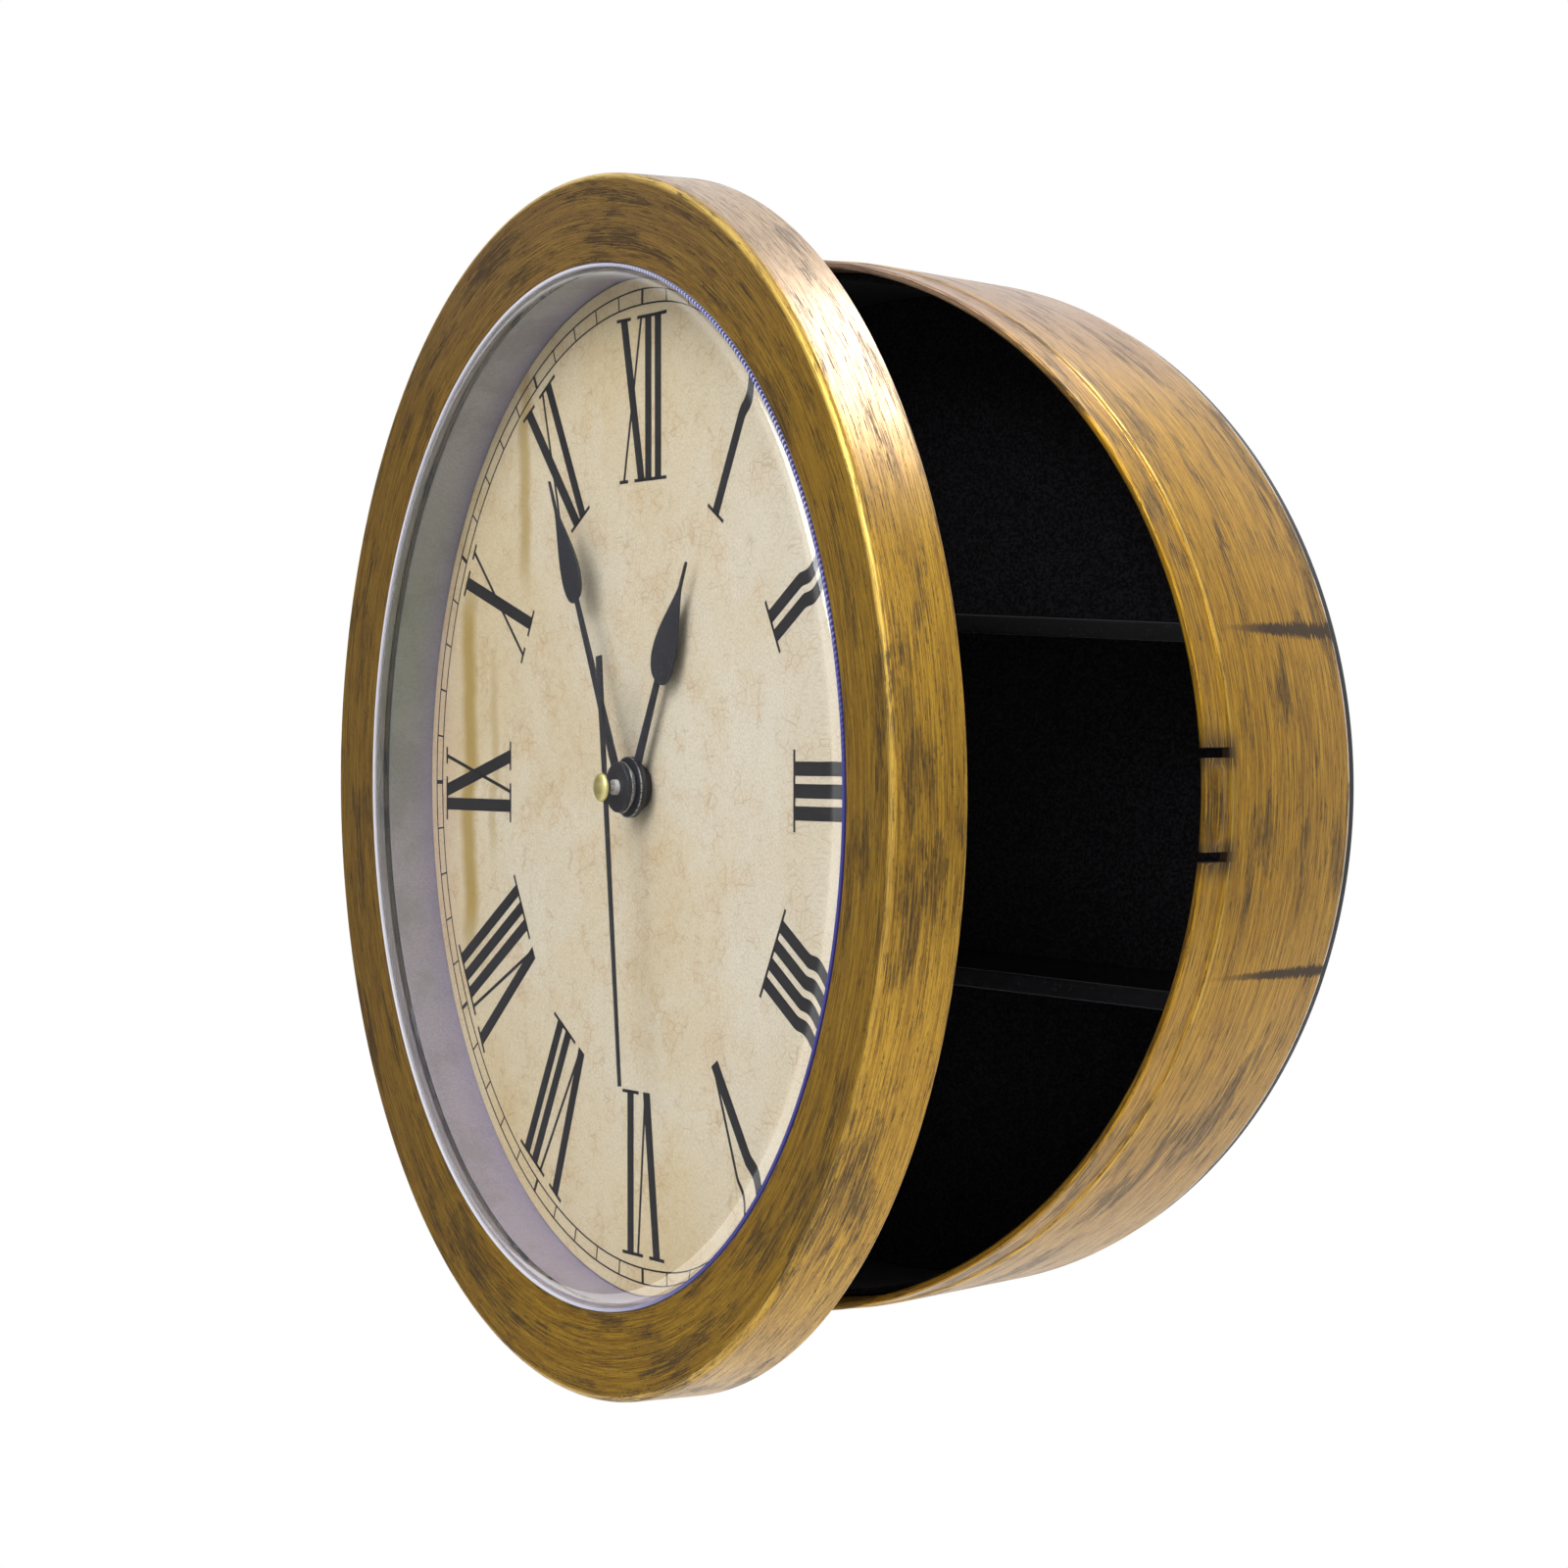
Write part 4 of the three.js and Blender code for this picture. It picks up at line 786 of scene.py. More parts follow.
def cup_plastic():
    """Grey wall around the dial, with a drift from green-grey to lavender, painted light that makes it
    lighter towards its top, and a fine sanded grain.
    """
    n = Nodes("cup_grey")
    place = n.attribute("brush")
    x, y, run = n.parts(place)
    wall = n.span(n.from_middle(x, y), 104.0, 105.5)
    grain = n.noise(place, 2.2, 3.0, 0.7)
    drift = n.noise(place, 0.03, 2.0)
    colour = n.mix(n.span(n.plus(y, n.times(drift, 60.0)), -60.0, 90.0),
                   linear(166, 156, 168), linear(148, 154, 144))
    # painted light: the wall lighter towards its top
    colour = n.tint(colour, n.span(y, 30.0, 90.0, 0.0, 0.8), 184, 182, 188)
    stains = n.span(n.noise(place, 0.06, 4.0, 0.7), 0.44, 0.62)
    colour = n.tint(colour, n.times(stains, wall, 0.3), 112, 110, 104)
    colour = n.tint(colour, n.times(n.span(run, 126.0, 134.0), wall, 0.6), 146, 138, 168)
    colour = n.tint(colour, n.span(grain, 0.6, 0.4, 0.0, 0.25), 104, 102, 100)
    n.set(Base_Color=colour, Roughness=0.45)
    n.bump(grain, 0.1, 0.0001)
    return n.material


def clear_lens():
    """Clear moulding. Light from the lamps passes straight through, so that the dial is lit evenly."""
    n = Nodes("clear_lens")
    n.set(Base_Color=(0.985, 0.988, 1.0, 1.0), Roughness=0.0, Transmission_Weight=1.0, IOR=1.49)
    clear = n.add("ShaderNodeBsdfTransparent", Color=(0.96, 0.97, 0.98, 1.0)).outputs[0]
    n.cover(n.add("ShaderNodeLightPath").outputs["Is Shadow Ray"], clear)
    return n.material


def painted_edge_light():
    """Silver on the left, a painted highlight of the cover's edge, and blue-violet on the right, a painted
    colour fringe of light at that edge, with short silver dashes round its upper part.
    """
    n = Nodes("cover_edge_light")
    x, y, run = n.parts(n.attribute("brush"))
    turns = n.plus(n.times(n.math("ARCTAN2", y, x), 560.0), n.times(run, 3.0))
    dashes = n.span(n.math("SINE", turns), 0.1, 0.8)
    wear_and_highlight = n.noise(n.object_coordinates(), 40.0, 2.0)
    # painted highlight on the left and painted colour fringe of light on the right, along the cover's edge
    ground = n.mix(n.span(x, -20.0, 60.0), linear(204, 204, 216), linear(52, 54, 134))
    dashes = n.times(dashes, n.span(wear_and_highlight, 0.3, 0.6, 0.3, 0.9), n.span(y, 0.0, 50.0))
    colour = n.mix(dashes, ground, linear(200, 202, 222))
    n.set(Base_Color=colour, Roughness=0.35)
    return n.material


def battery_sleeve():
    """Plain printed sleeve: black body with a copper band at the positive end."""
    n = Nodes("battery_sleeve")
    x, _, _ = n.parts(n.attribute("brush"))
    fine = n.noise(n.object_coordinates(), 300.0, 2.0)
    band = n.span(x, 8.0, 8.4)
    n.set(Base_Color=n.mix(band, linear(24, 24, 27), linear(176, 112, 60)), Metallic=n.times(band, 0.7),
          Roughness=n.span(fine, 0.3, 0.7, 0.22, 0.34))
    return n.material


GOLD = antique_gold("antique_gold", linear(178, 136, 52), linear(158, 118, 44))
RING_GOLD = antique_gold("ring_gold", linear(186, 144, 50), linear(156, 116, 42), 0.85, 0.4, on_ring=True)
DRUM_GOLD = antique_gold("drum_gold", linear(184, 138, 34), linear(154, 110, 26), on_drum=True)
FLOCK = flock()
GLOSS_BLACK = gloss_black()
BLACK_PLASTIC = moulded("black_plastic", (20, 20, 21), (32, 32, 33), 0.5)
KNOB_GREY = moulded("knob_grey", (150, 152, 154), (170, 171, 172), 0.4)
WHITE_NYLON = moulded("white_nylon", (214, 212, 204), (228, 226, 220), 0.45)
EDGE_LIGHT_PAINT = painted_edge_light()
RUBBER = moulded("black_rubber", (18, 18, 18), (30, 30, 30), 0.8)
BOARD = moulded("board_green", (22, 70, 38), (30, 88, 48), 0.45)
COIL = moulded("coil_wire", (140, 66, 30), (176, 90, 46), 0.35)
STEEL = satin_metal("steel", (150, 152, 155), (196, 198, 200), 0.3)
BRASS = satin_metal("brass", (222, 210, 132), (244, 236, 170), 0.42)
DIAL_PAPER = dial_paper()
INK = ink()
HAND_PAINT = hand_paint()
CUP_GREY = cup_plastic()
LENS = clear_lens()
BATTERY_SLEEVE = battery_sleeve()


def finish_piece(obj, body, slot, material, *nodes):
    """Gives a piece its material and its body, and hides the CAD nodes that it stands for. The slot is not
    used.
    """
    obj.data.materials.clear()
    obj.data.materials.append(material)
    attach(obj, body)
    if nodes:
        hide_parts(*nodes)
    return obj


# Drum

def shell_angles():
    """Even angles round the drum, with pairs at the edges of the latch slots and a few on the bulge."""
    half = LATCH_SLOT_WIDTH / 2
    edges = np.array([height + side * half for height in LATCH_SLOTS for side in (-1, 1)])
    edges = np.arcsin(edges / LIP_OUTER)
    pairs = np.concatenate([edges - PAIR_GAP, edges + PAIR_GAP])
    bulge = np.arcsin(np.linspace(*LATCH_TAB, 12) / LIP_OUTER)
    return np.unique(np.mod(np.concatenate([even_angles(ROUND), pairs, bulge]), 2 * math.pi))


def shell_shape(radius, z, angle):
    """Shortens the lip inside the latch slots, and swells the tab between them."""
    height = np.where(np.cos(angle) > 0, LIP_OUTER * np.sin(angle), 1e3)
    in_slot = np.zeros(height.shape, dtype=bool)
    for centre in LATCH_SLOTS:
        in_slot |= np.abs(height - centre) < LATCH_SLOT_WIDTH / 2
    bottom = LIP_FRONT - LATCH_SLOT_LENGTH
    z = np.where(in_slot & (z > bottom), bottom, z)
    low, high = LATCH_TAB
    across = np.clip(np.minimum(height - low, high - height) / 1.2, 0, 1)
    back, front = LATCH_BULGE_SPAN
    rise = np.clip(1 - np.abs(2 * (z - back) / (front - back) - 1), 0, 1)
    outside = radius > (LIP_INNER + LIP_OUTER) / 2
    return radius + np.where(outside, LATCH_BULGE * across * rise, 0), z


def make_shell():
    """The gold wall: a slightly tapering band, a step down to the lip, and the lip's rounded edge."""
    ridge = LIP_FRONT - LIP_LENGTH
    profile = rounded([
        (LIP_INNER, SHELL_BACK, 0.3), (DRUM_BACK_RADIUS, SHELL_BACK, 0.6), (RIDGE_RADIUS, ridge, 0.8),
        (LIP_OUTER, ridge + 0.8, 0.8), (LIP_OUTER, LATCH_BULGE_SPAN[0], 0), (LIP_OUTER, 50.0, 0),
        (LIP_OUTER, LATCH_BULGE_SPAN[1], 0), (LIP_OUTER, LIP_FRONT, 0.5), (LIP_INNER, LIP_FRONT, 0.5),
    ])
    shell = turned("drum_wall", profile, drum_place, shape=shell_shape, angles=shell_angles())
    finish_piece(shell, "drum", "antique_gold", DRUM_GOLD, "drum_shell")
    for k, (low, high) in enumerate(DRUM_KNUCKLES):
        back, front = HINGE_Z - HINGE_ARM_HALF, HINGE_Z + HINGE_ARM_HALF
        corners = box_outline(HINGE_X, back, 1.2 - LIP_INNER, front, 2.15, 0.3, 0.3, 2.15)
        arm = block(f"drum_hinge_arm_{k + 1}", corners, low, high, drum_place)
        finish_piece(arm, "drum", "antique_gold", GOLD)
        knuckle(f"drum_knuckle_{k + 1}", low, high, hinge_place(drum_place, HINGE_Z), "drum")
    for k in range(BACK_SCREWS["count"]):
        angle = BACK_SCREWS["first"] + k * 360 / BACK_SCREWS["count"]
        corners = box_outline(LUG_INNER, -LUG_HALF_WIDTH, LIP_INNER + 0.3, LUG_HALF_WIDTH, 1.5, 0.2, 0.2, 1.5)
        lug = block(f"back_lug_{k + 1}", corners, SHELL_BACK, SHELL_BACK + LUG_THICKNESS,
                    clockwise_place(drum_place, -angle), axis=2)
        finish_piece(lug, "drum", "antique_gold", GOLD)


def knuckle(name, low, high, place, body):
    """One hinge knuckle: a short tube about the pin with rounded rims."""
    piece = band(name, PIN_RADIUS + FIT_GAP, KNUCKLE_RADIUS, low, high, (0.2, 0.35, 0.35, 0.2), place,
                 SMALL_ROUND)
    finish_piece(piece, body, "antique_gold", GOLD)


def make_pin():
    """The hinge pin, with slightly domed ends."""
    end = DOOR_KNUCKLES[1][1] - FIT_GAP
    profile = [(0, -end), (PIN_RADIUS - 0.3, -end), (PIN_RADIUS, -end + 0.4), (PIN_RADIUS, end - 0.4),
               (PIN_RADIUS - 0.3, end), (0, end)]
    pin = turned_solid("pin", profile, hinge_place(drum_place, HINGE_Z), 24)
    finish_piece(pin, "drum", "steel", STEEL, "hinge_pin")


def keyhole_outline():
    """A round head with a narrower slot above it that ends in a half circle."""
    neck = math.asin(KEYHOLE_SLOT / KEYHOLE_HEAD)
    head = np.linspace(math.pi / 2 + neck, 2 * math.pi + math.pi / 2 - neck, 40)
    top = np.linspace(0, math.pi, 16)
    return np.concatenate([
        polar(KEYHOLE_HEAD, head) + (0, KEYHOLE_HEIGHT),
        polar(KEYHOLE_SLOT, top) + (0, KEYHOLE_HEIGHT + KEYHOLE_RISE),
    ])


def make_back():
    """The back plate with its keyhole, and four screws sunk in its rim."""
    places = spaced(BACK_SCREW_CIRCLE, **BACK_SCREWS)
    holes = [circle(SCREW_HEAD + FIT_GAP, 32, place) for place in places]
    plate = cut_out("back_panel", [circle(BACK_PLATE_RADIUS, ROUND), keyhole_outline(), *holes],
                    0, BACK_PLATE_THICKNESS, drum_place, bevel=0.25)
    finish_piece(plate, "drum", "black_plastic", BLACK_PLASTIC, "back_plate")
    seat = BACK_SCREW_RECESS - FIT_GAP
    for k, place in enumerate(places):
        screw(f"back_panel_screw_{k + 1}", place, seat, SHELL_BACK + LUG_THICKNESS - FIT_GAP, drum_place,
              "drum", f"back_screw_{k + 1}")


def screw(name, place, seat, tip, where, body, node):
    """A domed screw, head towards the back, with a cross recess pressed into its head.

    Head height is seat - h * (1 - 0.35 r^2 / R^2), less a recess inside the cross's arms.
    """
    rings = np.linspace(0, 1, 15)
    angles = even_angles(SMALL_ROUND)[:, None]
    x, y = SCREW_HEAD * rings * np.cos(angles), SCREW_HEAD * rings * np.sin(angles)
    arm = np.minimum(np.abs(x), np.abs(y))
    reach = np.maximum(np.abs(x), np.abs(y))
    recess = np.clip((0.42 - arm) / 0.16, 0, 1) * np.clip((1.45 - reach) / 0.4, 0, 1)
    z = seat - SCREW_HEAD_HEIGHT * (1 - 0.35 * rings ** 2) + 0.5 * recess
    sides = np.array([SCREW_HEAD, SCREW_SHANK, SCREW_SHANK, 0.6, 0])
    levels = np.broadcast_to([seat, seat, tip - 0.6, tip, tip], (SMALL_ROUND, len(sides)))
    x = np.concatenate([x, sides * np.cos(angles)], axis=1) + place[0]
    y = np.concatenate([y, sides * np.sin(angles)], axis=1) + place[1]
    z = np.concatenate([z, levels], axis=1)
    local = np.stack([x, y, z], axis=-1).reshape(-1, 3)
    piece = mesh_object(name, where(local), grid_faces(*x.shape, True, False), local)
    finish_piece(piece, body, "steel", STEEL, node)


def make_liner():
    """The flocked wall and floor of the cabinet, with rails above and below each shelf's ends."""
    wall = band("flocked_wall", LINER_INNER, LINER_OUTER, LINER_BACK, LINER_FRONT, (0.2, 0.2, 0.5, 0.5),
                tray_place)
    finish_piece(wall, "drum", "black_flock", FLOCK, "drum_liner")
    edge = LINER_INNER - FIT_GAP
    floor = turned_solid("flocked_floor", [
        (0, LINER_BACK), (edge - 0.2, LINER_BACK), (edge, LINER_BACK + 0.2), (edge, FLOOR_FRONT - 0.2),
        (edge - 0.2, FLOOR_FRONT), (0, FLOOR_FRONT),
    ], tray_place, ROUND)
    finish_piece(floor, "drum", "black_flock", FLOCK, "liner_floor")
    for name, top in SHELF_TOPS.items():
        bottom = top - SHELF_THICKNESS
        for part, low in (("above", top + FIT_GAP), ("below", bottom - FIT_GAP - RAIL_HEIGHT)):
            for side in (-1, 1):
                rail(f"{name}_rail_{part}_{'right' if side > 0 else 'left'}", low, side)


def rail(name, low, side):
    """A short shelf rail that follows the round wall, from the wall's face to the rail's reach."""
    heights = np.linspace(low, low + RAIL_HEIGHT, 6)
    outer = np.sqrt((LINER_INNER + 0.3) ** 2 - heights ** 2)
    inner = np.sqrt((LINER_INNER - RAIL_REACH) ** 2 - heights ** 2)
    back, front = FLOOR_FRONT + FIT_GAP, LINER_FRONT - SHELF_NOSING_DEPTH - FIT_GAP
    corners = np.array([(0, back), (1, back), (1, front - 0.6), (0.8, front), (0, front)])
    share, depth = corners[:, 0], corners[:, 1]
    x = side * (outer[:, None] * (1 - share) + inner[:, None] * share)
    y = np.broadcast_to(heights[:, None], x.shape)
    z = np.broadcast_to(depth, x.shape)
    piece = swept(name, np.stack([x, y, z], axis=-1), tray_place)
    finish_piece(piece, "drum", "black_flock", FLOCK)


def make_shelf(name, top):
    """A shelf with a downturned front edge, carried across the drum; its ends follow the round wall."""
    back = FLOOR_FRONT + FIT_GAP
    inner_front = LINER_FRONT - SHELF_NOSING_DEPTH
    outline = rounded([
        (top, back, 0.3), (top, LINER_FRONT, 0.7), (top - SHELF_NOSING, LINER_FRONT, 0.5),
        (top - SHELF_NOSING, inner_front, 0.4), (top - SHELF_THICKNESS, inner_front, 0.6),
        (top - SHELF_THICKNESS, back, 0.3),
    ])
    reach = np.sqrt((LINER_INNER - FIT_GAP) ** 2 - outline[:, 0] ** 2)
    share = np.linspace(-1, 1, 41)
    x = share[:, None] * reach
    y = np.broadcast_to(outline[:, 0], x.shape)
    z = np.broadcast_to(outline[:, 1], x.shape)
    piece = swept(name + "_board", np.stack([x, y, z], axis=-1), tray_place)
    finish_piece(piece, "drum", "gloss_black", GLOSS_BLACK, name)


# Door

def ring_angles():
    """Even angles round the ring, with pairs at the edges of the hinge notches and of the catch."""
    notch = np.arcsin(np.array(HINGE_NOTCHES).ravel() / RING_RADIUS)
    catch = np.arcsin((CATCH_CENTRE + np.array([-0.5, 0.5]) * CATCH_HEIGHT) / CATCH_REACH)
    edges = np.concatenate([math.pi - notch, catch])
    angles = np.concatenate([even_angles(ROUND), edges - PAIR_GAP, edges + PAIR_GAP])
    return np.unique(np.mod(angles, 2 * math.pi))


def ring_shape(radius, z, angle):
    """Opens the ring's rear edge where the drum's hinge arms pass, and draws out the latch's catch."""
    height = RING_RADIUS * np.sin(angle)
    in_notch = np.zeros(height.shape, dtype=bool)
    for low, high in HINGE_NOTCHES:
        in_notch |= (height > low) & (height < high) & (np.cos(angle) < 0)
    low_part = z < HINGE_NOTCH_DEPTH
    wall_inner = RING_RADIUS - RING_WALL
    radius = np.where(in_notch & low_part & (radius < wall_inner), wall_inner, radius)
    z = np.where(in_notch & low_part, HINGE_NOTCH_DEPTH, z)
    catch_height = CATCH_REACH * np.sin(angle) - CATCH_CENTRE
    on_catch = (np.abs(catch_height) < CATCH_HEIGHT / 2) & (np.cos(angle) > 0)
    tip = on_catch & (z < RING_FLANGE + 0.1) & (radius < RING_FLANGE_INNER + 0.6)
    return np.where(tip, radius - (RING_FLANGE_INNER - CATCH_REACH), radius), z


def make_ring():
    """The gold ring: a tall band, a rounded front edge, and a face that dips to its inner edge."""
    run = RING_RADIUS - RING_ROUNDING - RING_OPENING
    dish = RING_DEPTH - RING_OPENING_Z
    lip_outer = RING_OPENING + RING_LIP_WIDTH
    wall_inner = RING_RADIUS - RING_WALL

    def face(radius):
        return RING_OPENING_Z + dish * (radius - RING_OPENING) / run

    lip_back = RING_OPENING_Z - RING_LIP_DEPTH
    profile = rounded([
        (RING_FLANGE_INNER, 0, 0.3), (RING_RADIUS, 0, 0.5), (RING_RADIUS, RING_DEPTH, RING_ROUNDING),
        (RING_OPENING, RING_OPENING_Z, 0.6), (RING_OPENING, lip_back, 0.2), (lip_outer, lip_back, 0.2),
        (lip_outer, face(lip_outer) - RING_FACE_THICKNESS, 0.3),
        (wall_inner, face(wall_inner) - RING_FACE_THICKNESS, 0.5),
        (wall_inner, RING_FLANGE, 0.3), (RING_FLANGE_INNER, RING_FLANGE, 0.3),
    ], steps=8)
    ring = turned("clock_ring", profile, door_place, shape=ring_shape, angles=ring_angles())
    finish_piece(ring, "door", "antique_gold", RING_GOLD, "door_ring")
    for k, (low, high) in enumerate(DOOR_KNUCKLES):
        half = KNUCKLE_RADIUS - 0.2
        corners = box_outline(1.6 - RING_RADIUS, DOOR_HINGE_Z - half, HINGE_X + 0.6, DOOR_HINGE_Z + half, 0.2)
        web = block(f"door_hinge_web_{k + 1}", corners, low + 0.1, high - 0.1, door_place)
        finish_piece(web, "door", "antique_gold", GOLD)
        knuckle(f"door_knuckle_{k + 1}", low, high, hinge_place(door_place, DOOR_HINGE_Z), "door")


def make_lens():
    """The clear dish: flat front, a bent shoulder, a short skirt and a flange behind the ring's inner edge.

    The shoulder is out by w * sin(t) ^ (2 / p) and down by h * (1 - cos(t)), so that its bend starts
    gently. Its inside is the same curve, moved in along its normals by the thickness.
    """
    inner = LENS_RADIUS - LENS_THICKNESS
    wide, tall = LENS_SHOULDER
    share = 2 / LENS_SHOULDER_POWER
    angle = np.linspace(0, 1, 29) ** 1.6 * math.pi / 2
    outside = np.column_stack([
        LENS_RADIUS - wide + wide * np.sin(angle) ** share,
        LENS_FRONT - tall + tall * np.cos(angle),
    ])
    outward = np.column_stack([tall * np.sin(angle) ** (2 - share), wide * share * np.cos(angle)])
    outward /= np.linalg.norm(outward, axis=1, keepdims=True)
    inside = (outside - LENS_THICKNESS * outward)[::-1]
    flange_back, flange_front = LENS_FLANGE_Z
    flat_end = outside[0, 0] - 0.4
    profile = np.concatenate([
        [(0, LENS_FRONT), (flat_end, LENS_FRONT)],
        outside,
        [(LENS_RADIUS, flange_front), (LENS_FLANGE_RADIUS, flange_front)],
        [(LENS_FLANGE_RADIUS, flange_back), (inner, flange_back)],
        inside,
        [(flat_end, LENS_FRONT - LENS_THICKNESS), (0, LENS_FRONT - LENS_THICKNESS)],
    ])
    finish_piece(turned_solid("clear_cover", profile, door_place, ROUND), "door", "clear_lens", LENS, "lens")


def make_edge_light_and_seals():
    """A fine line in the gap between the cover's edge and the ring, which carries the painted highlight and
    painted colour fringe of that edge, a grey seal, and a gasket.
    """
    gap = (LENS_RADIUS + 0.05, RING_OPENING - 0.02)
    rim = (LENS_FLANGE_RADIUS + 0.1, LENS_FLANGE_RADIUS + 1.6)
    base, top = LENS_FLANGE_Z[1] + 0.2, BEAD_FRONT - 0.6
    # painted highlight and colour fringe of the cover's edge, carried by a line in the gap
    edge_light_line = band("cover_edge_light", *gap, top, BEAD_FRONT, (0.1, 0.1, 0.2, 0.2), door_place)
    seal = band("cover_seal", *gap, base, top - 0.05, (0.1,), door_place)
    gasket = band("cover_gasket", *rim, CLAMP_Z[1] + 0.2, base, (0.2,), door_place)
    for piece, material in ((edge_light_line, EDGE_LIGHT_PAINT), (seal, CUP_GREY), (gasket, CUP_GREY)):
        finish_piece(piece, "door", "clear_lens", material)


def make_cup():
    """The cup that holds the dial: a floor, a wall and a narrow flange under the lens's."""
    floor_back, floor_front = CUP_FLOOR_Z
    flange_back, flange_front = CUP_FLANGE_Z
    cup = turned("dial_well", rounded([
        (BUSH_HOLE, floor_back, 0.2), (CUP_OUTER, floor_back, 0.8), (CUP_OUTER, flange_back, 0.3),
        (LENS_FLANGE_RADIUS, flange_back, 0.2), (LENS_FLANGE_RADIUS, flange_front, 0.2),
        (CUP_INNER, flange_front, 0.3), (CUP_INNER, floor_front, 0.3), (BUSH_HOLE, floor_front, 0.2),
    ]), door_place)
    finish_piece(cup, "door", "grey_plastic", CUP_GREY, "dial_cup")
    places = spaced(RING_SCREW_CIRCLE, **RING_SCREWS)
    holes = [circle(CLAMP_HOLE, 24, place) for place in places]
    clamp = cut_out("clamping_ring", [circle(CLAMP_RADII[1], ROUND), circle(CLAMP_RADII[0], ROUND), *holes],
                    *CLAMP_Z, door_place, bevel=0.2)
    finish_piece(clamp, "door", "black_plastic", BLACK_PLASTIC, "clamp_ring")
    for k, place in enumerate(places):
        screw(f"clamping_screw_{k + 1}", place, CLAMP_Z[0] - FIT_GAP, RING_SCREW_TIP, door_place, "door",
              f"door_screw_{k + 1}")


# Dial

def stroke(start, end, width):
    """A straight stroke of a given horizontal width between two heights, with level ends."""
    half = width / 2
    return np.array([(start[0] - half, start[1]), (start[0] + half, start[1]),
                     (end[0] + half, end[1]), (end[0] - half, end[1])])


def serif(centre, height, half, low):
    """A thin level line that ends a stroke."""
    base = height if low else height - SERIF
    return np.array([(centre - half, base), (centre + half, base),
                     (centre + half, base + SERIF), (centre - half, base + SERIF)])


def letter(kind, centre, height):
    """Strokes and serifs of I, V or X, standing on 0."""
    if kind == "I":
        half = THICK_STROKE / 2 + SERIF_OVERHANG
        return [stroke((centre, 0), (centre, height), THICK_STROKE),
                serif(centre, 0, half, True), serif(centre, height, half, False)]
    if kind == "V":
        reach = V_ADVANCE / 2 - 1.2
        return [stroke((centre + 0.4, 0), (centre - reach, height), THICK_STROKE + 0.2),
                stroke((centre + 0.9, 0), (centre + reach, height), THIN_STROKE),
                serif(centre - reach, height, THICK_STROKE / 2 + 1.9, False),
                serif(centre + reach, height, 2.2, False)]
    reach = X_ADVANCE / 2 - 0.9
    return [stroke((centre + reach, 0), (centre - reach, height), THICK_STROKE + 0.2),
            stroke((centre - reach, 0), (centre + reach, height), THIN_STROKE),
            serif(centre - reach, height, THICK_STROKE / 2 + 1.8, False),
            serif(centre + reach, 0, THICK_STROKE / 2 + 1.8, True),
            serif(centre + reach, height, 1.9, False), serif(centre - reach, 0, 1.9, True)]


def numeral(name, letters, hour):
    """One Roman numeral, its foot towards the middle of the dial."""
    advance = {"I": I_ADVANCE, "V": V_ADVANCE, "X": X_ADVANCE}
    width = sum(advance[kind] for kind in letters)
    cursor = -width / 2
    height = NUMERAL_OUTER - NUMERAL_INNER
    shapes = []
    for kind in letters:
        shapes += letter(kind, cursor + advance[kind] / 2, height)
        cursor += advance[kind]
    return flat_print(name, [shape + (0, NUMERAL_INNER) for shape in shapes], 30 * hour)


def flat_print(name, outlines, angle):
    """Four-cornered marks raised a hair above the dial, each turned clockwise by the same angle."""
    low = DIAL_Z[1] + 0.01
    high = low + PRINT_THICKNESS
    corners = np.array(outlines)
    count = len(corners)
    bottom = np.concatenate([corners, np.full((count, 4, 1), low)], axis=2)
    top = np.concatenate([corners, np.full((count, 4, 1), high)], axis=2)
    local = clockwise(np.concatenate([bottom, top], axis=1).reshape(-1, 3), angle)
    box = np.array([(3, 2, 1, 0), (4, 5, 6, 7), (0, 1, 5, 4), (1, 2, 6, 5), (2, 3, 7, 6), (3, 0, 4, 7)])
    faces = (box[None] + 8 * np.arange(count)[:, None, None]).reshape(-1, 4)
    return finish_piece(mesh_object(name, door_place(local), faces, local), "door", "dial_paper", INK)


def make_dial():
    """The dial card, its numerals, and the minute track of two circles and sixty ticks."""
    back, front = DIAL_Z
    radii = np.array([BUSH_HOLE, 20, 40, 60, 80, 95, DIAL_RADIUS - 0.1])
    profile = np.concatenate([
        [(BUSH_HOLE, back), (DIAL_RADIUS, back), (DIAL_RADIUS, front - 0.1)],
        np.column_stack([radii[::-1], np.full(len(radii), front)]),
    ])
    card = turned("dial_face", profile, door_place)
    finish_piece(card, "door", "dial_paper", DIAL_PAPER, "dial_card")
    names = ("XII", "I", "II", "III", "IIII", "V", "VI", "VII", "VIII", "IX", "X", "XI")
    for hour, letters in enumerate(names):
        numeral(f"numeral_{hour or 12}", letters, hour)
    inner, outer = TRACK_RADII
    low = front + 0.01
    for k, radius in enumerate(TRACK_RADII):
        half = TRACK_LINE / 2
        line = turned(f"track_circle_{k + 1}", np.array([
            (radius - half, low), (radius + half, low), (radius + half, low + PRINT_THICKNESS),
            (radius - half, low + PRINT_THICKNESS),
        ]), door_place)
        finish_piece(line, "door", "dial_paper", INK)
    ticks = []
    for minute in range(MINUTES):
        angle = minute * 2 * math.pi / MINUTES
        out = np.array([math.sin(angle), math.cos(angle)])
        side = np.array([out[1], -out[0]]) * (0.45 if minute % 5 == 0 else 0.2)
        near, far = out * inner, out * outer
        ticks.append(np.array([near - side, near + side, far + side, far - side]))
    flat_print("track_ticks", ticks, 0)


# Hands

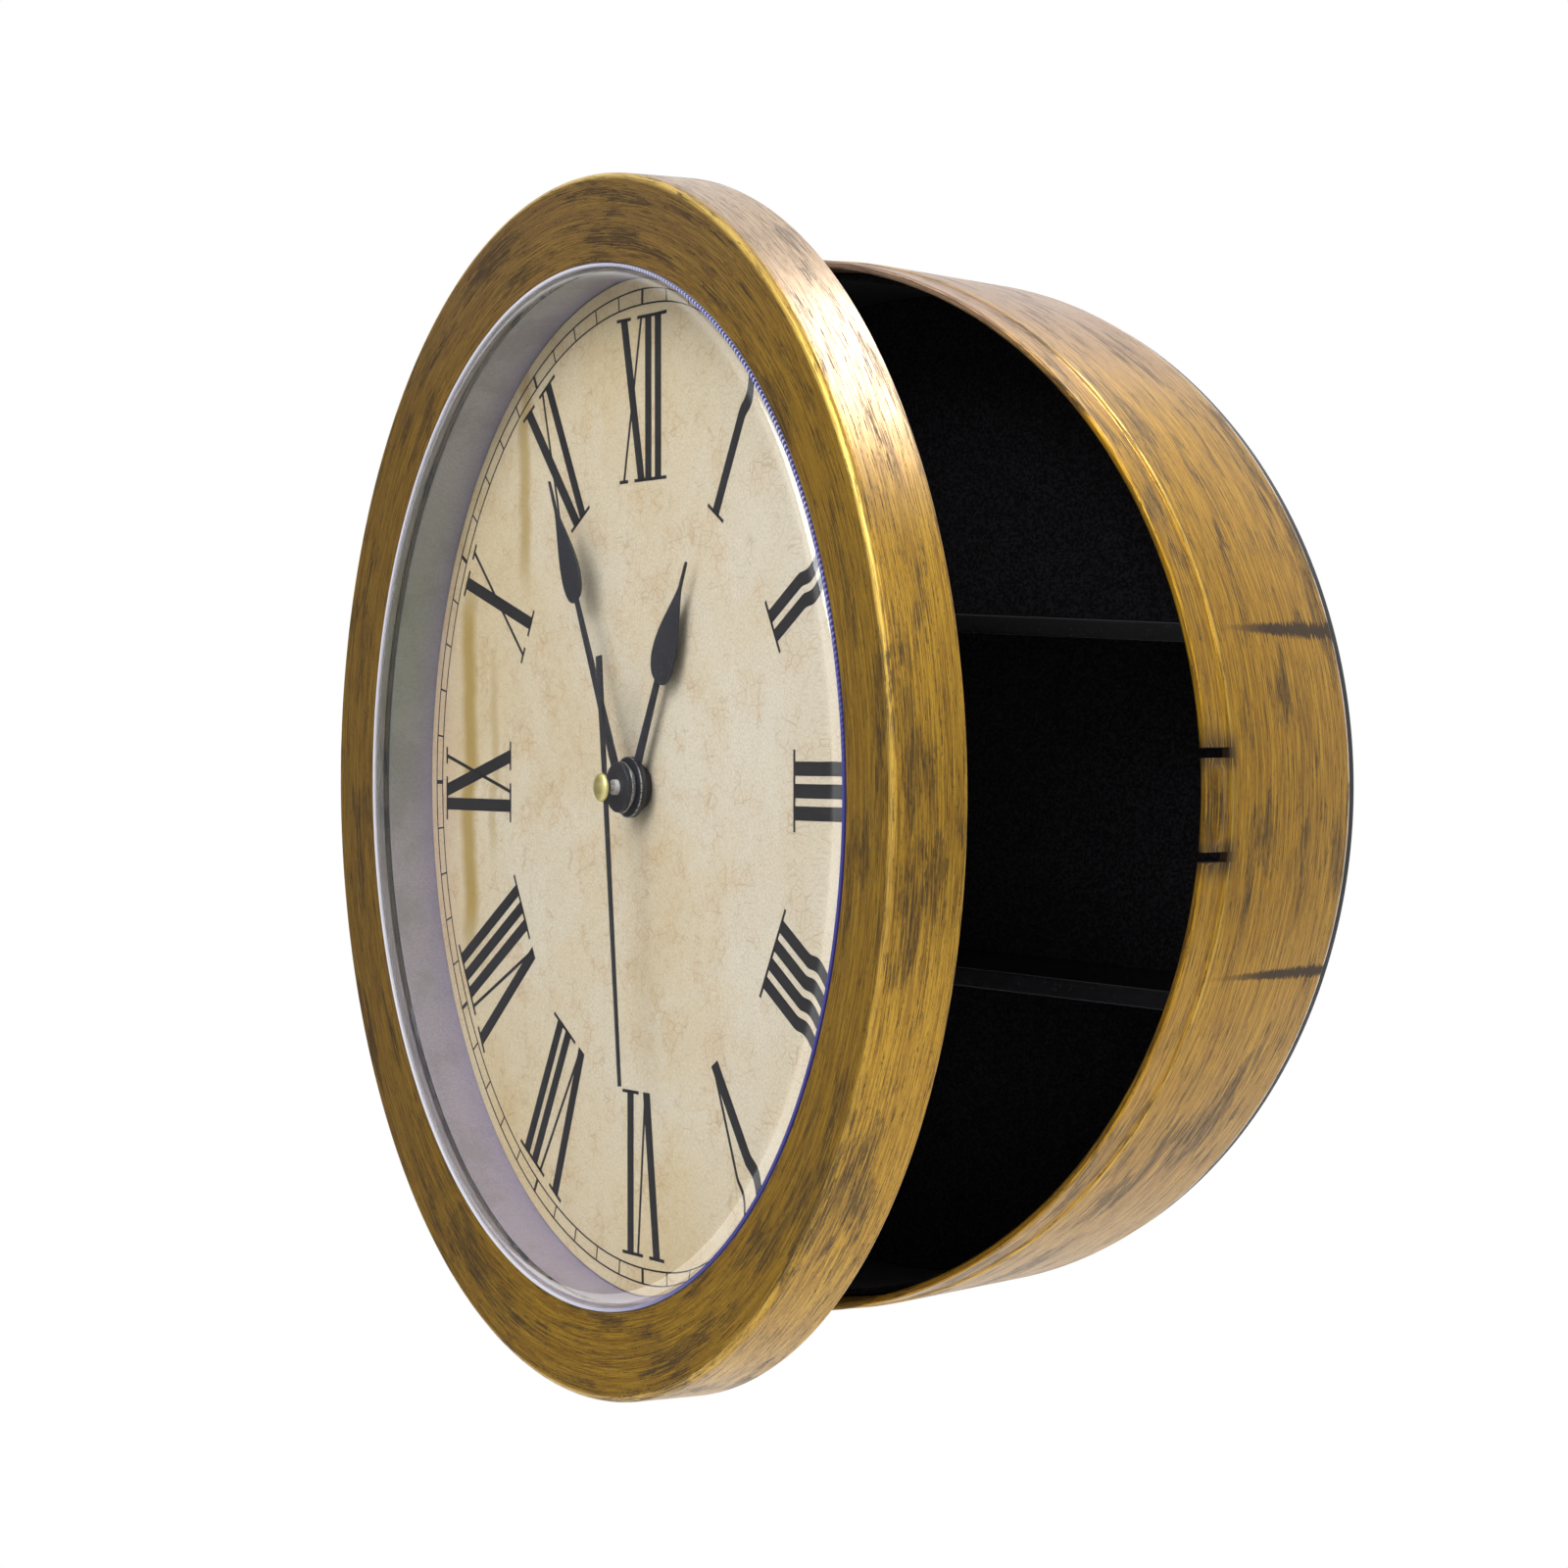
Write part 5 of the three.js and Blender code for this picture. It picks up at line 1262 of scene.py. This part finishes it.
def blade_half_width(hand, radius):
    """Half width of a spade hand: a tapering needle that swells to a leaf, widest near its start."""
    start, end = hand["bulb"]
    run = np.clip((radius - hand["hub"]) / (hand["length"] - hand["hub"]), 0, 1)
    needle = hand["stem"] + (HAND_TIP - hand["stem"]) * run
    t = np.clip((radius - start) / (end - start), 0, 1)
    peak = 0.5 / 1.9
    swell = np.sqrt(t / peak) * ((1 - t) / (1 - peak)) ** 1.4
    return needle + (hand["half"] - needle) * swell


def spade(name, hand, hole, angle, body, node):
    """A stamped spade hand with its round hub."""
    start, end = hand["bulb"]
    hub = hand["hub"]
    leaf = start + (end - start) * np.linspace(0.01, 1, 40) ** 1.6
    radius = np.concatenate([[start], leaf, [hand["length"] - 0.3, hand["length"]]])
    half = blade_half_width(hand, radius)
    half[-1] = 0.12
    meet = math.sqrt(hub ** 2 - hand["stem"] ** 2)
    sweep = np.linspace(math.acos(meet / hub), 2 * math.pi - math.acos(meet / hub), 60)
    around = np.column_stack([-hub * np.sin(sweep), hub * np.cos(sweep)])
    right = np.column_stack([half, radius])
    left = np.column_stack([-half, radius])[::-1]
    outline = np.concatenate([right, left, around])
    piece = cut_out(name, [outline, circle(hole, 32)], hand["z"], hand["z"] + HAND_THICKNESS,
                    clockwise_place(door_place, angle), 0.1)
    finish_piece(piece, body, "hand_black", HAND_PAINT, node)


def hub_disc(name, inner, outer, back, front, body, material):
    """A low collar about the hands' axis."""
    piece = band(name, inner, outer, back, front, (0.05, 0.15, 0.2, 0.05), door_place, 96, 4)
    finish_piece(piece, body, "hand_black", material)


def rim_highlight(name, radius, level, body):
    """A fine bright steel line round a stamped hub's edge: a painted highlight of its rim."""
    piece = band(name, radius - 0.25, radius + 0.06, level - 0.12, level + 0.12, (0.04, 0.05, 0.05, 0.04),
                 door_place, 96, 3)
    finish_piece(piece, body, "steel", STEEL)


def make_hands():
    """Hour, minute and second hand, their collars, and the brass button."""
    spade("hour_blade", HOUR_HAND, HOUR_PIPE + FIT_GAP, HOUR_ANGLE, "hour", "hour_hand")
    spade("minute_blade", MINUTE_HAND, MINUTE_PIPE + FIT_GAP, MINUTE_ANGLE, "minute", "minute_hand")
    hour_front = HOUR_HAND["z"] + HAND_THICKNESS
    minute_front = MINUTE_HAND["z"] + HAND_THICKNESS
    hour_hub, minute_hub = HOUR_HAND["hub"], MINUTE_HAND["hub"]
    hub_disc("hour_collar", HOUR_PIPE, hour_hub - 0.1, hour_front, hour_front + 0.7, "hour", HAND_PAINT)
    # painted highlight: bright steel lines stand in for the light caught on the hubs' rims
    rim_highlight("hour_rim_highlight", hour_hub, hour_front + 0.7, "hour")
    hub_disc("minute_sleeve", MINUTE_PIPE, 4.4, hour_front + 1.0, MINUTE_HAND["z"] - 0.1, "minute", KNOB_GREY)
    hub_disc("minute_collar", MINUTE_PIPE, minute_hub - 0.1, minute_front, minute_front + 0.6, "minute",
             HAND_PAINT)
    rim_highlight("minute_rim_highlight", minute_hub, MINUTE_HAND["z"], "minute")
    hand = SECOND_HAND
    hub = hand["hub"]
    bulge = polar(hub, np.linspace(20, -20, 12) * DEGREES)
    right = np.concatenate([
        [(hand["tip"], hand["length"]), (0.75, hub)], bulge, [(0.75, -hub), (hand["end"], -hand["tail"])],
    ])
    outline = np.concatenate([right, right[::-1] * (-1, 1)])
    blade = cut_out("second_blade", [outline, circle(ARBOR_RADIUS + FIT_GAP, 24)], hand["z"],
                    hand["z"] + HAND_THICKNESS, clockwise_place(door_place, SECOND_ANGLE), 0.08)
    finish_piece(blade, "second", "hand_black", HAND_PAINT, "second_hand")
    back, front = CAP_Z
    rise = np.linspace(0, math.pi / 2, 14)
    edge = back + 0.4
    dome = np.column_stack([CAP_RADIUS * np.cos(rise), edge + (front - edge) * np.sin(rise)])
    dome[-1, 0] = 0
    profile = np.concatenate([[(0, back), (CAP_RADIUS - 0.2, back), (CAP_RADIUS, back + 0.2)], dome])
    cap = turned_solid("brass_button", profile, door_place, 64)
    finish_piece(cap, "second", "brass", BRASS, "second_hand_cap")


# Movement

def softened(name, node, width):
    """A copy of a CAD piece with its coplanar facets joined and its corners rounded off."""
    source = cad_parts[node]
    mesh = source.data.copy()
    mesh.name = name
    mesh.transform(source.matrix_world)
    work = bmesh.new()
    work.from_mesh(mesh)
    bmesh.ops.remove_doubles(work, verts=work.verts, dist=1e-6)
    bmesh.ops.dissolve_limit(work, angle_limit=0.5 * DEGREES, verts=work.verts, edges=work.edges)
    work.to_mesh(mesh)
    work.free()
    shade_smooth(mesh)
    obj = link_object(name, mesh)
    bevel = obj.modifiers.new("corners", "BEVEL")
    bevel.width = width
    bevel.segments = 3
    bevel.limit_method = "ANGLE"
    bevel.angle_limit = 50 * DEGREES
    bevel.harden_normals = True
    finish_piece(obj, "door", "black_plastic", BLACK_PLASTIC, node)


def make_movement():
    """The movement's case with softened corners, and the ribs moulded across its back."""
    softened("case_front", "movement_front_case", 0.0005)
    softened("case_rear", "movement_rear_case", 0.0006)
    softened("nut", "fixing_nut", 0.0002)
    for k, height in enumerate(CASE_RIBS):
        half = CASE_RIB_LENGTH / 2
        corners = box_outline(-half, height - 0.5, half, height + 0.5, 0.45)
        rib = block(f"case_rib_{k + 1}", corners, CASE_BACK - 0.5, CASE_BACK + 0.1, door_place, axis=2)
        finish_piece(rib, "door", "black_plastic", BLACK_PLASTIC)


def make_battery():
    """The battery: a sleeve with rolled ends and a raised button."""
    half = BATTERY_LENGTH / 2
    radius = BATTERY_RADIUS
    profile = [
        (0, -half), (radius - 1.6, -half), (radius - 1.4, -half + 0.3), (radius - 0.6, -half),
        (radius, -half + 0.6), (radius, half - 1.8), (radius - 0.6, half - 1.2), (radius - 1.4, half - 1.5),
        (2.9, half - 1.5), (2.7, half - 1.3), (2.7, half - 0.2), (2.5, half), (0, half),
    ]

    def lying(points):
        x, y, z = np.moveaxis(points, -1, 0)
        return door_place(np.stack([z, BATTERY_HEIGHT + x, BATTERY_Z + y], axis=-1))

    piece = turned_solid("battery_cell", profile, lying, 64)
    run = piece.data.attributes["brush"]
    values = np.empty(len(piece.data.vertices) * 3, dtype=np.float32)
    run.data.foreach_get("vector", values)
    values = values.reshape(-1, 3)
    values[:, 0] = values[:, 2] - radius - half
    run.data.foreach_set("vector", values.ravel())
    finish_piece(piece, "door", "battery_sleeve", BATTERY_SLEEVE, "battery")


def make_knob():
    """The setting knob: a low disc whose rim is fluted, radius R + 0.2 cos(24 angle)."""
    back, front = KNOB_Z
    profile = rounded(box_outline(0.6, back, KNOB_RADIUS - 0.2, front, 0.1, 0.5, 0.3, 0.1), 4)

    def fluted(radius, z, angle):
        edge = np.clip((radius - 3.6) / 0.5, 0, 1)
        return radius + 0.2 * edge * np.cos(24 * angle), z

    knob = turned("knob_rim", profile, door_place, 192, KNOB_PLACE, fluted)
    finish_piece(knob, "setting", "grey_plastic", KNOB_GREY)


def dress_cad_nodes():
    """Materials for the CAD nodes whose shape is kept."""
    kept = {
        "rubber_washer": RUBBER, "battery_contact_positive": STEEL, "battery_contact_negative": STEEL,
        "stator_plate": STEEL, "motor_coil": COIL, "circuit_board": BOARD, "quartz_crystal": STEEL,
        "second_wheel": WHITE_NYLON, "third_wheel": WHITE_NYLON, "centre_wheel": BRASS,
        "intermediate_wheel": WHITE_NYLON, "rotor": STEEL, "minute_pipe": WHITE_NYLON,
        "minute_wheel": WHITE_NYLON, "hour_wheel": WHITE_NYLON, "setting_knob": KNOB_GREY,
    }
    for name, material in kept.items():
        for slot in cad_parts[name].material_slots:
            slot.material = material


# Room, light and camera

def make_room():
    """A round pale floor below the clock. It takes the clock's shadow, and its rim fades into the white."""
    rim = [(x, y, FLOOR_LEVEL) for x, y in circle(FLOOR_RADIUS, 96)]
    mesh = bpy.data.meshes.new("floor")
    mesh.from_pydata(rim, [], [tuple(range(len(rim)))])
    n = Nodes("floor_white")
    x, y, _ = n.parts(n.object_coordinates())
    speckle = n.noise(n.object_coordinates(), 300.0, 2.0)
    n.set(Base_Color=n.mix(speckle, (0.84, 0.84, 0.84, 1), (0.88, 0.88, 0.88, 1)), Roughness=0.8)
    path = n.add("ShaderNodeLightPath").outputs
    seen = n.larger(n.larger(path["Is Camera Ray"], path["Is Glossy Ray"]), path["Is Transmission Ray"])
    rim_share = n.span(n.from_middle(x, y), 0.3 * FLOOR_RADIUS, 0.95 * FLOOR_RADIUS)
    n.cover(n.times(seen, rim_share), n.add("ShaderNodeEmission").outputs[0])
    mesh.materials.append(n.material)
    floor = link_object("floor", mesh)


def make_world():
    """A white surround that gives a moderate light. What gold and glass mirror is white as well, except
    for two soft dark walls: one that the flat cover mirrors, and a paler one that the round walls mirror."""
    world = bpy.data.worlds.new("surround")
    bpy.context.scene.world = world
    n = Nodes("surround", world)
    towards = n.add("ShaderNodeTexCoord").outputs["Generated"]
    mirrored = 1.0
    for wall in DARK_WALLS:
        azimuth = wall["azimuth"] * DEGREES
        facing = n.add("ShaderNodeVectorMath")
        facing.operation = "DOT_PRODUCT"
        n.link(towards, facing.inputs[0])
        facing.inputs[1].default_value = (math.sin(azimuth), -math.cos(azimuth), 0)
        edge, core = math.cos(wall["edge"] * DEGREES), math.cos(wall["core"] * DEGREES)
        mirrored = n.times(n.span(facing.outputs["Value"], edge, core, 1.0, wall["level"]), mirrored)
    path = n.add("ShaderNodeLightPath").outputs
    strength = WORLD_LIGHT
    lights = {"Is Glossy Ray": mirrored, "Is Transmission Ray": mirrored, "Is Camera Ray": 1.0}
    for ray, light in lights.items():
        strength = n.add("ShaderNodeMix", Factor=path[ray], A=strength, B=light).outputs["Result"]
    n.set(Color=(1, 1, 1, 1), Strength=strength)


def aim(obj, target, azimuth, elevation, distance):
    """Places a lamp or camera by azimuth from the front, elevation and distance, facing its target."""
    a, e = azimuth * DEGREES, elevation * DEGREES
    offset = Vector((math.sin(a) * math.cos(e), -math.cos(a) * math.cos(e), math.sin(e))) * distance
    obj.location = Vector(target) + offset
    obj.rotation_euler = (-offset).to_track_quat("-Z", "Y").to_euler()


def lamp(name, azimuth, elevation, distance, size, power):
    """A soft rectangular lamp aimed at the clock."""
    light = bpy.data.lights.new(name, "AREA")
    light.shape = "RECTANGLE"
    light.size, light.size_y = size
    light.energy = power
    aim(link_object(name, light), LAMP_TARGET, azimuth, elevation, distance)


def make_camera():
    """The camera at the photograph's viewing angle."""
    camera = bpy.data.cameras.new("camera")
    camera.lens = FOCAL_LENGTH
    camera.sensor_width = SENSOR
    camera.shift_x = -CENTRE_OFFSET[0] / PHOTO_SIZE
    camera.shift_y = -CENTRE_OFFSET[1] / PHOTO_SIZE
    obj = link_object("camera", camera)
    aim(obj, Vector(CAMERA_TARGET) / 1000, CAMERA_AZIMUTH, CAMERA_ELEVATION, CAMERA_DISTANCE / 1000)
    bpy.context.scene.camera = obj


make_camera()
make_world()
make_room()
for lamp_name, lamp_values in LAMPS.items():
    lamp(lamp_name, **lamp_values)
bpy.context.scene.view_settings.view_transform = "Standard"

make_shell()
make_pin()
make_back()
make_liner()
for shelf_name, shelf_top in SHELF_TOPS.items():
    make_shelf(shelf_name, shelf_top)
make_ring()
make_lens()
make_edge_light_and_seals()
make_cup()
make_dial()
make_hands()
make_movement()
make_battery()
make_knob()
dress_cad_nodes()
